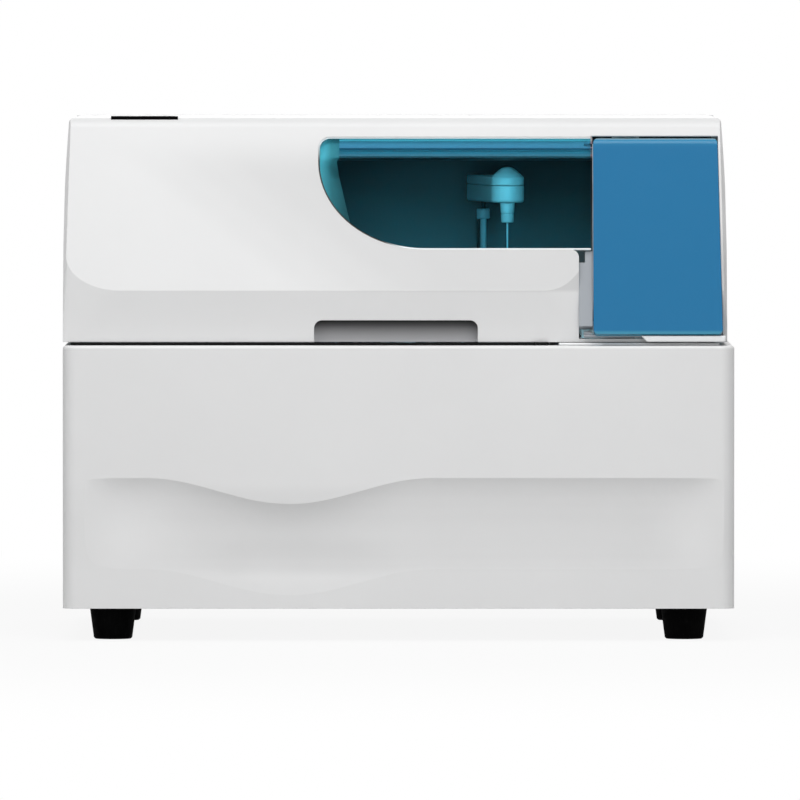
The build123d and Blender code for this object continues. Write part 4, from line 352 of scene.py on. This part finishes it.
print("mixing the finishes")
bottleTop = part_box("reagent_bottles")[1].z
finishes = {
    "cabinet": powderCoat("cabinetWhite", (0.78, 0.782, 0.784)),
    "cover": mouldedPlastic("coverWhite", (0.808, 0.81, 0.812), 0.36, shine=0.25),
    "backPanel": powderCoat("backPanelWhite", (0.72, 0.73, 0.74), 0.55),
    # painted light on the door: its bands paint a lighter strip along the foot and a highlight along the top roll,
    # then a dark grey line on the top edge
    "door": bandedFinish("doorBlue", [
        (0.328, (0.05, 0.27, 0.40)), (0.3308, (0.04, 0.25, 0.39)), (0.3325, (0.006, 0.158, 0.345)),
        (0.5290, (0.006, 0.158, 0.345)), (0.5360, (0.02, 0.23, 0.42)), (0.5372, (0.34, 0.50, 0.56)),
        (0.5388, (0.42, 0.58, 0.63)), (0.5395, (0.12, 0.13, 0.14)), (0.5410, (0.12, 0.13, 0.14)),
    ], upward, 0.22),
    "black": mouldedPlastic("trimBlack", (0.008, 0.008, 0.009), 0.5, 0.8, 0.12, shine=0.3),
    "grey": mouldedPlastic("trimGrey", (0.36, 0.38, 0.39), 0.45),
    "silver": mouldedPlastic("trimSilver", (0.44, 0.47, 0.50), 0.35),
    "pane": tintedClear("paneTint", (0.20, 0.78, 0.96), (1.0, 1.0, 1.0), 0.0, 1.08),
    "deck": powderCoat("deckGrey", (0.16, 0.19, 0.21)),
    "steel": brushedMetal("plateSteel", (0.60, 0.61, 0.62)),
    "polished": polishedMetal("shaftSteel", (0.74, 0.75, 0.76)),
    "satin": mouldedPlastic("shaftSatin", (0.70, 0.72, 0.76), 0.45),
    "footBlack": mouldedRubber("footBlack", (0.0012, 0.0012, 0.0013), 0.85, 0.03),
    "jamb": mouldedPlastic("jambGrey", (0.34, 0.365, 0.395), 0.38),
    "frame": powderCoat("frameGrey", (0.25, 0.26, 0.27)),
    "aluminium": brushedMetal("bathAluminium", (0.66, 0.67, 0.69), 0.3, (1, 1, 1), 0.05),
    "arm": mouldedPlastic("armWhite", (0.84, 0.86, 0.87), 0.35),
    "disc": mouldedPlastic("discBlack", (0.03, 0.032, 0.035), 0.45, 0.8, 0.1),
    "cuvette": tintedClear("cuvetteClear", (0.93, 0.96, 0.97), (0.95, 0.97, 0.98), 0.05),
    "bottle": bandedFinish("bottleWhite", [
        (bottleTop - 0.080, (0.60, 0.62, 0.62)), (bottleTop - 0.0115, (0.70, 0.72, 0.72)),
        (bottleTop - 0.0105, (0.01, 0.12, 0.30)), (bottleTop, (0.012, 0.15, 0.35)),
    ], upward, 0.45),
    "cup": mouldedPlastic("cupClear", (0.72, 0.77, 0.79), 0.2),
    "board": mouldedPlastic("boardGreen", (0.02, 0.13, 0.06), 0.4, 0.7),
    # painted highlight and shade on the rail: the top band is a painted highlight, and the dark lines paint the
    # shade in a groove and under the rail
    "rail": bandedFinish("railBlue", [
        (0.5150, (0.06, 0.03, 0.03)), (0.5184, (0.06, 0.03, 0.03)), (0.5188, (0.3, 0.13, 0.14)),
        (0.5206, (0.2, 0.12, 0.13)), (0.5212, (0.12, 0.116, 0.135)), (0.5250, (0.12, 0.116, 0.135)),
        (0.5256, (0.01, 0.02, 0.04)), (0.5268, (0.01, 0.02, 0.04)), (0.5274, (0.33, 0.18, 0.22)),
        (0.5340, (0.43, 0.25, 0.28)), (0.5354, (1.0, 0.72, 0.66)), (0.5400, (1.0, 0.85, 0.8)),
    ], upward),
    # painted shade: the bay's back wall runs from grey at its foot to near black at its top, where the roof shades
    # it
    "wall": bandedFinish("wallDark", [
        (0.405, (0.18, 0.19, 0.20)), (0.420, (0.16, 0.165, 0.175)), (0.446, (0.11, 0.110, 0.114)),
        (0.479, (0.046, 0.042, 0.046)), (0.505, (0.026, 0.023, 0.028)), (0.530, (0.024, 0.021, 0.025)),
    ], upward),
    # painted shade and highlight: the gasket is dark along the window's left and lower left, where its gap lies in
    # shade, and pale elsewhere as a highlight
    "gasket": bandedFinish("gasketLip", [
        (0.250, (0.03, 0.026, 0.022)), (0.326, (0.03, 0.026, 0.022)), (0.342, (0.86, 0.93, 0.95)),
        (0.700, (0.92, 0.96, 0.97)),
    ], (1, 0, 0.8), 0.4),
    # painted light: the bumpers on the right, under the door, are pale grey where the strip under the door is
    # brightly lit; the others are black rubber
    "bumper": bandedFinish("bumperRubber", [
        (-0.4, (0.003, 0.003, 0.003)), (0.18, (0.003, 0.003, 0.003)),
        (0.20, (0.5, 0.52, 0.54)), (0.4, (0.5, 0.52, 0.54)),
    ], rightward, 0.6, 0.1),
    # painted shade: the grip pocket darkens towards its ceiling
    "grip": bandedFinish("gripGrey", [
        (0.3195, (0.86, 0.86, 0.88)), (0.3260, (0.66, 0.66, 0.675)), (0.3370, (0.13, 0.13, 0.135)),
        (0.3420, (0.02, 0.02, 0.02)), (0.3460, (0.01, 0.01, 0.01)),
    ], upward, 0.5),
    # painted highlight and shade: the window's inner wall is pale at the window's edge and darker further in
    "reveal": bandedFinish("revealPale", [
        (-0.0860, (0.60, 0.45, 0.40)), (-0.0800, (0.50, 0.35, 0.31)), (-0.0720, (0.28, 0.19, 0.165)),
        (-0.0600, (0.17, 0.12, 0.105)), (-0.0440, (0.09, 0.06, 0.053)),
    ], rightward, 0.4),
    # painted light: a paler white than the cover's, to offset the shade on the sill strip and the trim under the
    # door
    "sill": mouldedPlastic("sillPale", (0.88, 0.89, 0.90)),
    "seal": mouldedRubber("sealGrey", (0.30, 0.31, 0.33), 0.55),
    "column": powderCoat("columnPale", (0.84, 0.85, 0.86)),
}

# painted shade: the raked face turns a little darker towards the window, and the head and the right edge are painted
# darker too
shadeWhere(finishes["cover"], 0.85, [
    ((1, 0, 1.3), [(0.364, 0.0), (0.414, 0.28), (0.459, 0.52), (0.514, 0.82), (0.574, 0.95), (0.624, 1.0),
                   (0.80, 1.0), (0.86, 0.5)]),
    (upward, [(0.372, 0.0), (0.377, 1.0), (0.495, 1.0), (0.545, 0.0)]),
    (backward, [(-0.25, 1.0), (-0.235, 0.0)]),
])
shadeWhere(finishes["cover"], 0.88, [(upward, [(0.549, 0.0), (0.556, 1.0), (0.570, 1.0)])])
shadeWhere(finishes["cover"], 0.73, [
    (rightward, [(0.3440, 0.0), (0.3465, 1.0)]), (upward, [(0.30, 1.0), (0.40, 1.0), (0.46, 0.0)]),
    (backward, [(-0.25, 1.0), (-0.20, 0.0)]),
])

# painted shade: the cabinet's front darkens below its sculpted line, most under the dip, as in the shade of the
# overhang
finishes["panel"] = shadeWhere(finishes["cabinet"].copy(), 0.885, [
    (upward, [(0.072, 0.0), (0.082, 0.45), (0.092, 0.8), (0.105, 0.95), (0.130, 1.0), (0.143, 0.75),
              (0.155, 0.45), (0.170, 0.0)]),
    (rightward, [(-0.30, 0.2), (-0.21, 1.0), (0.26, 1.0), (0.33, 0.3)]),
    (backward, [(-0.28, 1.0), (-0.27, 0.0)]),
])
finishes["panel"].name = "panelWhite"
shadeWhere(finishes["panel"], 0.93, [
    (upward, [(0.066, 0.0), (0.076, 1.0), (0.096, 1.0), (0.118, 0.0)]),
    (rightward, [(-0.24, 0.0), (-0.16, 1.0), (-0.06, 1.0), (0.02, 0.0)]),
    (backward, [(-0.28, 1.0), (-0.27, 0.0)]),
])

# painted shade on the arm's near end; the arm's lower shell is painted nearly black at its foot, and the lift
# shaft's left side nearly black below its collar
shadeWhere(finishes["arm"], 0.72, [(backward, [(-0.1, 1.0), (-0.01, 0.0)])])
finishes["armLower"] = shadeWhere(finishes["arm"].copy(), 0.03, [(upward, [(0.4662, 1.0), (0.4668, 0.0)])])
finishes["armLower"].name = "armLowerWhite"
finishes["lift"] = shadeWhere(finishes["satin"].copy(), 0.02, [
    (rightward, [(0.0887, 1.0), (0.0891, 0.0)]), (upward, [(0.4465, 1.0), (0.4468, 0.0)]),
])
finishes["lift"].name = "liftSatin"

nodeFinishes = {
    "rubber_feet": "footBlack", "floor_tray": "frame", "frame_tubes": "frame", "front_panel": "panel",
    "side_panel_left": "cabinet", "side_panel_right": "cabinet", "deck_plate": "deck",
    "cover_hinge_pins": "polished", "cover_hinge_brackets": "steel", "cover_bumpers": "bumper",
    "rear_cover": "cabinet", "bay_back_wall": "wall", "carousel_well": "aluminium",
    "incubator_bath": "aluminium", "drive_motors": "frame", "probe_column": "column",
    "mixer_column": "column", "wash_post": "polished", "rinse_well": "grey", "rear_panel": "backPanel",
    "fan_frame": "black", "fan_guard": "steel", "power_inlet": "black", "port_block": "black",
    "hose_spigots": "silver", "panel_screws": "polished", "power_supply": "aluminium",
    "control_board": "board", "wash_pump": "grey", "syringe_pump": "grey",
    "photometer_housing": "disc", "cover_shell": "cover", "door_jamb": "jamb",
    "window_gasket": "gasket", "window_pane": "pane", "window_reveal": "cover",
    "window_rail": "rail", "grip_pocket": "grip", "top_vent": "footBlack", "door_panel": "door",
    "door_pins": "black", "carousel_tray": "disc", "reagent_bottles": "bottle",
    "sample_cups": "cup", "rotor_disc": "disc", "cuvette_ring": "cuvette", "probe_shaft": "lift",
    "probe_arm_lower": "armLower", "probe_arm_upper": "arm", "probe_holder": "arm",
    "probe_needle": "satin", "mixer_shaft": "satin", "mixer_arm": "arm",
    "mixer_paddle": "polished", "wash_head": "grey", "fan_rotor": "black", "power_rocker": "black",
    "pump_rotor": "silver", "syringe_plunger": "polished", "filter_wheel": "aluminium",
}
for node, finishName in nodeFinishes.items():
    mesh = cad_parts[node].data
    mesh.materials.clear()
    mesh.materials.append(finishes[finishName])

print("sealing the door")
doorSeal = {"left": 0.2085, "lowRight": 0.3481, "highRight": 0.3431, "top": 0.5404, "bottom": 0.329,
            "corner": 0.0085, "depth": 0.0006, "radius": 0.0004,
            "creaseLow": 0.370, "creaseHigh": 0.381}
sealHead = doorSeal["top"] - doorSeal["corner"]
sealRows = (doorSeal["bottom"], doorSeal["creaseLow"], doorSeal["creaseHigh"], sealHead)
sealLean = (doorSeal["highRight"] - doorSeal["lowRight"]) / (doorSeal["top"] - doorSeal["bottom"])
sealSides = {
    "door_seal_left": [(doorSeal["left"], z) for z in sealRows],
    "door_seal_right": [(doorSeal["lowRight"] + sealLean * (z - doorSeal["bottom"]), z) for z in sealRows],
}
for name, places in sealSides.items():
    bendStrip(name, [onFace(x, z, doorSeal["depth"]) for x, z in places], doorSeal["radius"], "seal", "cover")

print("shaping the window's inner wall")
innerWall = {"columns": 6, "rows": 24, "top": 0.5385, "foot": 0.4440, "nearDepth": 0.0070, "farDepth": 0.0340,
             "nearGap": 0.0012, "sink": 0.0003, "thickness": 0.0012, "taper": 6, "overlap": 0.0636,
             "leanTop": (-0.0668, 0.5168), "leanFoot": (-0.0495, 0.4440)}
topX, topZ = innerWall["leanTop"]
footX, footZ = innerWall["leanFoot"]
bpy.ops.object.select_all(action="DESELECT")
bpy.ops.mesh.primitive_grid_add(x_subdivisions=innerWall["columns"], y_subdivisions=innerWall["rows"], size=1)
wall = bpy.context.object
for vertex in wall.data.vertices:
    side = vertex.co.x + 0.5
    z = innerWall["foot"] + (innerWall["top"] - innerWall["foot"]) * (vertex.co.y + 0.5)
    lean = (z - footZ) / (topZ - footZ)
    far = footX + (topX - footX) * min(lean, 1.0)
    depth = innerWall["nearDepth"]
    if z > topZ:
        far = -innerWall["overlap"]
    else:
        depth += (innerWall["farDepth"] - innerWall["nearDepth"]) * side * min(1.0, (1 - lean) * innerWall["taper"])
    near = windowEdge(z) + innerWall["nearGap"]
    vertex.co = onFace(near + (far - near) * side, z, depth - innerWall["sink"])
thicken = wall.modifiers.new("wall", "SOLIDIFY")
thicken.thickness = innerWall["thickness"]
thicken.offset = -1
bpy.ops.object.modifier_apply(modifier="wall")
bpy.ops.object.shade_smooth_by_angle(angle=smoothAngle)
finishPiece(wall, "window_inner_wall", "reveal", "cover")
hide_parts("window_reveal")

print("laying the sill strips")
sillStrips = {
    "sill_strip": {"from": 0.172, "to": 0.3440, "y": -0.2845, "z": 0.3176, "radius": 0.0014, "finish": "sill"},
    "door_foot_strip": {"from": 0.1985, "to": 0.3460, "y": -0.2862, "z": 0.3263, "radius": 0.0017, "finish": "jamb"},
    "jamb_foot_strip": {"from": 0.1985, "to": 0.2072, "y": -0.2855, "z": 0.3292, "radius": 0.0020, "finish": "jamb"},
}
for name, strip in sillStrips.items():
    ends = [(x, strip["y"], strip["z"]) for x in (strip["from"], strip["to"])]
    bendStrip(name, ends, strip["radius"], strip["finish"], "cover")

print("shaping the sill under the door")
doorSill = {"from": 0.2600, "to": 0.3505, "slant": 0.006, "front": -0.2980, "back": -0.2800,
            "foot": 0.3203, "head": 0.3268, "edge": 0.0012, "edgeSteps": 4}
bpy.ops.object.select_all(action="DESELECT")
bpy.ops.mesh.primitive_cube_add(size=1)
sill = bpy.context.object
for vertex in sill.data.vertices:
    low = vertex.co.z < 0
    left = doorSill["from"] + (doorSill["slant"] if low else 0.0)
    vertex.co = (left if vertex.co.x < 0 else doorSill["to"],
                 doorSill["front"] if vertex.co.y < 0 else doorSill["back"],
                 doorSill["foot"] if low else doorSill["head"])
soften = sill.modifiers.new("edge", "BEVEL")
soften.width = doorSill["edge"]
soften.segments = doorSill["edgeSteps"]
bpy.ops.object.modifier_apply(modifier="edge")
bpy.ops.object.shade_smooth_by_angle(angle=smoothAngle)
finishPiece(sill, "door_sill_trim", "sill", "cover")

print("turning the needle holder")
needleHolder = {"place": (0.118, -0.110), "rings": [
    (0.0058, 0.4452), (0.0067, 0.4461), (0.0070, 0.4540), (0.0064, 0.4545), (0.0064, 0.4552),
    (0.0072, 0.4557), (0.0080, 0.4660), (0.0076, 0.4669),
]}
holder = turnPiece("needle_holder", needleHolder["rings"], needleHolder["place"], "arm", "probe_arm")
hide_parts("probe_holder")

print("shaping the sampling arm's upper half")
armUpper = {"pivot": (0.093, 0.070), "tip": (0.118, -0.110), "radius": 0.018, "foot": 0.4855, "head": 0.4950,
            "edge": 0.0012, "edgeSteps": 3, "edgeAngle": math.radians(50), "arcSteps": 24}
armDome = {"sides": 56, "rings": [
    (0.0166, 0.4944), (0.0160, 0.4962), (0.0128, 0.4992), (0.0088, 0.5026), (0.0055, 0.5046),
    (0.0025, 0.5053), (0.0006, 0.5055),
]}
(tipX, tipY), (pivotX, pivotY) = armUpper["tip"], armUpper["pivot"]
armTurn = math.atan2(tipY - pivotY, tipX - pivotX)
armPlan = []
for centerX, centerY, start in ((tipX, tipY, armTurn - math.pi / 2), (pivotX, pivotY, armTurn + math.pi / 2)):
    for step in range(armUpper["arcSteps"] + 1):
        turn = start + math.pi * step / armUpper["arcSteps"]
        armPlan.append((centerX + armUpper["radius"] * math.cos(turn),
                        centerY + armUpper["radius"] * math.sin(turn)))
bpy.ops.object.select_all(action="DESELECT")
bpy.ops.mesh.primitive_circle_add(vertices=len(armPlan), fill_type="NGON")
armTop = bpy.context.object
for vertex, (x, y) in zip(armTop.data.vertices, armPlan):
    vertex.co = (x, y, armUpper["foot"])
armHeight = armUpper["head"] - armUpper["foot"]
bpy.ops.object.mode_set(mode="EDIT")
bpy.ops.mesh.select_all(action="SELECT")
bpy.ops.mesh.extrude_region_move(TRANSFORM_OT_translate={"value": (0, 0, armHeight)})
closeEditing()
soften = armTop.modifiers.new("edge", "BEVEL")
soften.width = armUpper["edge"]
soften.segments = armUpper["edgeSteps"]
soften.angle_limit = armUpper["edgeAngle"]
bpy.ops.object.modifier_apply(modifier="edge")
bpy.ops.object.shade_smooth_by_angle(angle=turnedAngle)
finishPiece(armTop, "arm_upper_half", "arm", "probe_arm")
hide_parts("probe_arm_upper")
turnPiece("arm_dome", armDome["rings"], armUpper["tip"], "arm", "probe_arm", armDome["sides"])

print("setting the stage")
stageLook = {
    "floorSize": 120.0, "floorZ": -0.0005, "floorColor": (0.6, 0.6, 0.6), "floorRoughness": 0.9,
    "nearGlow": 0.9, "nearReach": 0.7, "farReach": 2.2, "ambient": 0.36, "backdrop": 1.0,
}
white = (1, 1, 1, 1)
bpy.ops.object.select_all(action="DESELECT")
bpy.ops.mesh.primitive_plane_add(size=stageLook["floorSize"], location=(0, 0, stageLook["floorZ"]))
studioFloor = bpy.context.object
studioFloor.name = "studioFloor"
# the floor glows white where it is seen, less so near the part, so that a contact shadow stays
floorFinish, floorTree, floorShader, floorPlace = startFinish(
    "floorPale", stageLook["floorColor"], stageLook["floorRoughness"])
floorGlow = floorTree.nodes.new("ShaderNodeEmission")
floorMix = floorTree.nodes.new("ShaderNodeMixShader")
floorReach = floorTree.nodes.new("ShaderNodeVectorMath")
floorReach.operation = "LENGTH"
floorTree.links.new(floorPlace, floorReach.inputs[0])
floorFade = floorTree.nodes.new("ShaderNodeMapRange")
floorFade.interpolation_type = "SMOOTHSTEP"
floorFade.inputs["From Min"].default_value = stageLook["nearReach"]
floorFade.inputs["From Max"].default_value = stageLook["farReach"]
floorFade.inputs["To Min"].default_value = stageLook["nearGlow"]
floorTree.links.new(floorReach.outputs["Value"], floorFade.inputs["Value"])
floorShare = floorTree.nodes.new("ShaderNodeMath")
floorShare.operation = "MULTIPLY"
floorTree.links.new(seenDirectly(floorTree), floorShare.inputs[0])
floorTree.links.new(floorFade.outputs["Result"], floorShare.inputs[1])
floorTree.links.new(floorShare.outputs[0], floorMix.inputs["Fac"])
floorTree.links.new(floorShader.outputs["BSDF"], floorMix.inputs[1])
floorTree.links.new(floorGlow.outputs["Emission"], floorMix.inputs[2])
floorTree.links.new(floorMix.outputs["Shader"], floorTree.nodes["Material Output"].inputs["Surface"])
studioFloor.data.materials.append(floorFinish)

# the part is lit by the dimmer ambient light, and the backdrop is seen white
world = bpy.data.worlds.new("studioWorld")
bpy.context.scene.world = world
world.use_nodes = True
worldTree = world.node_tree
ambient = worldTree.nodes["Background"]
ambient.inputs["Color"].default_value = white
ambient.inputs["Strength"].default_value = stageLook["ambient"]
backdrop = worldTree.nodes.new("ShaderNodeBackground")
backdrop.inputs["Color"].default_value = white
backdrop.inputs["Strength"].default_value = stageLook["backdrop"]
worldMix = worldTree.nodes.new("ShaderNodeMixShader")
worldTree.links.new(seenDirectly(worldTree), worldMix.inputs["Fac"])
worldTree.links.new(ambient.outputs["Background"], worldMix.inputs[1])
worldTree.links.new(backdrop.outputs["Background"], worldMix.inputs[2])
worldTree.links.new(worldMix.outputs["Shader"], worldTree.nodes["World Output"].inputs["Surface"])

softLamps = {
    "lampAbove": {"place": (-0.2, -1.5, 2.4), "aim": (0, -0.1, 0.3), "size": (2.6, 1.6), "watts": 46.0},
    "lampFront": {"place": (0.5, -3.7, 0.95), "aim": (0, -0.2, 0.4), "size": (2.2, 0.8), "watts": 16.0},
    "lampBay": {"place": (0.075, -0.212, 0.478), "aim": (0.1, -0.07, 0.466), "size": (0.16, 0.01),
                "watts": 0.056},
    "lampBack": {"place": (0.4, 2.8, 1.8), "aim": (0, 0.2, 0.3), "size": (2.4, 1.6), "watts": 16.0},
}
for lampName, facts in softLamps.items():
    bpy.ops.object.light_add(type="AREA", location=facts["place"])
    lamp = bpy.context.object
    lamp.name = lampName
    lamp.data.shape = "RECTANGLE"
    lamp.data.size, lamp.data.size_y = facts["size"]
    lamp.data.energy = facts["watts"]
    lamp.visible_camera = False
    turnTowards(lamp, facts["place"], facts["aim"])

cameraView = {"place": (0.0016, -15.3, 0.665), "aim": (0.0016, -0.3, 0.258), "lens": 630.4, "farthest": 200}
bpy.ops.object.camera_add(location=cameraView["place"])
camera = bpy.context.object
camera.data.lens = cameraView["lens"]
camera.data.clip_end = cameraView["farthest"]
turnTowards(camera, cameraView["place"], cameraView["aim"])
bpy.context.scene.camera = camera
bpy.context.scene.view_settings.view_transform = "Standard"
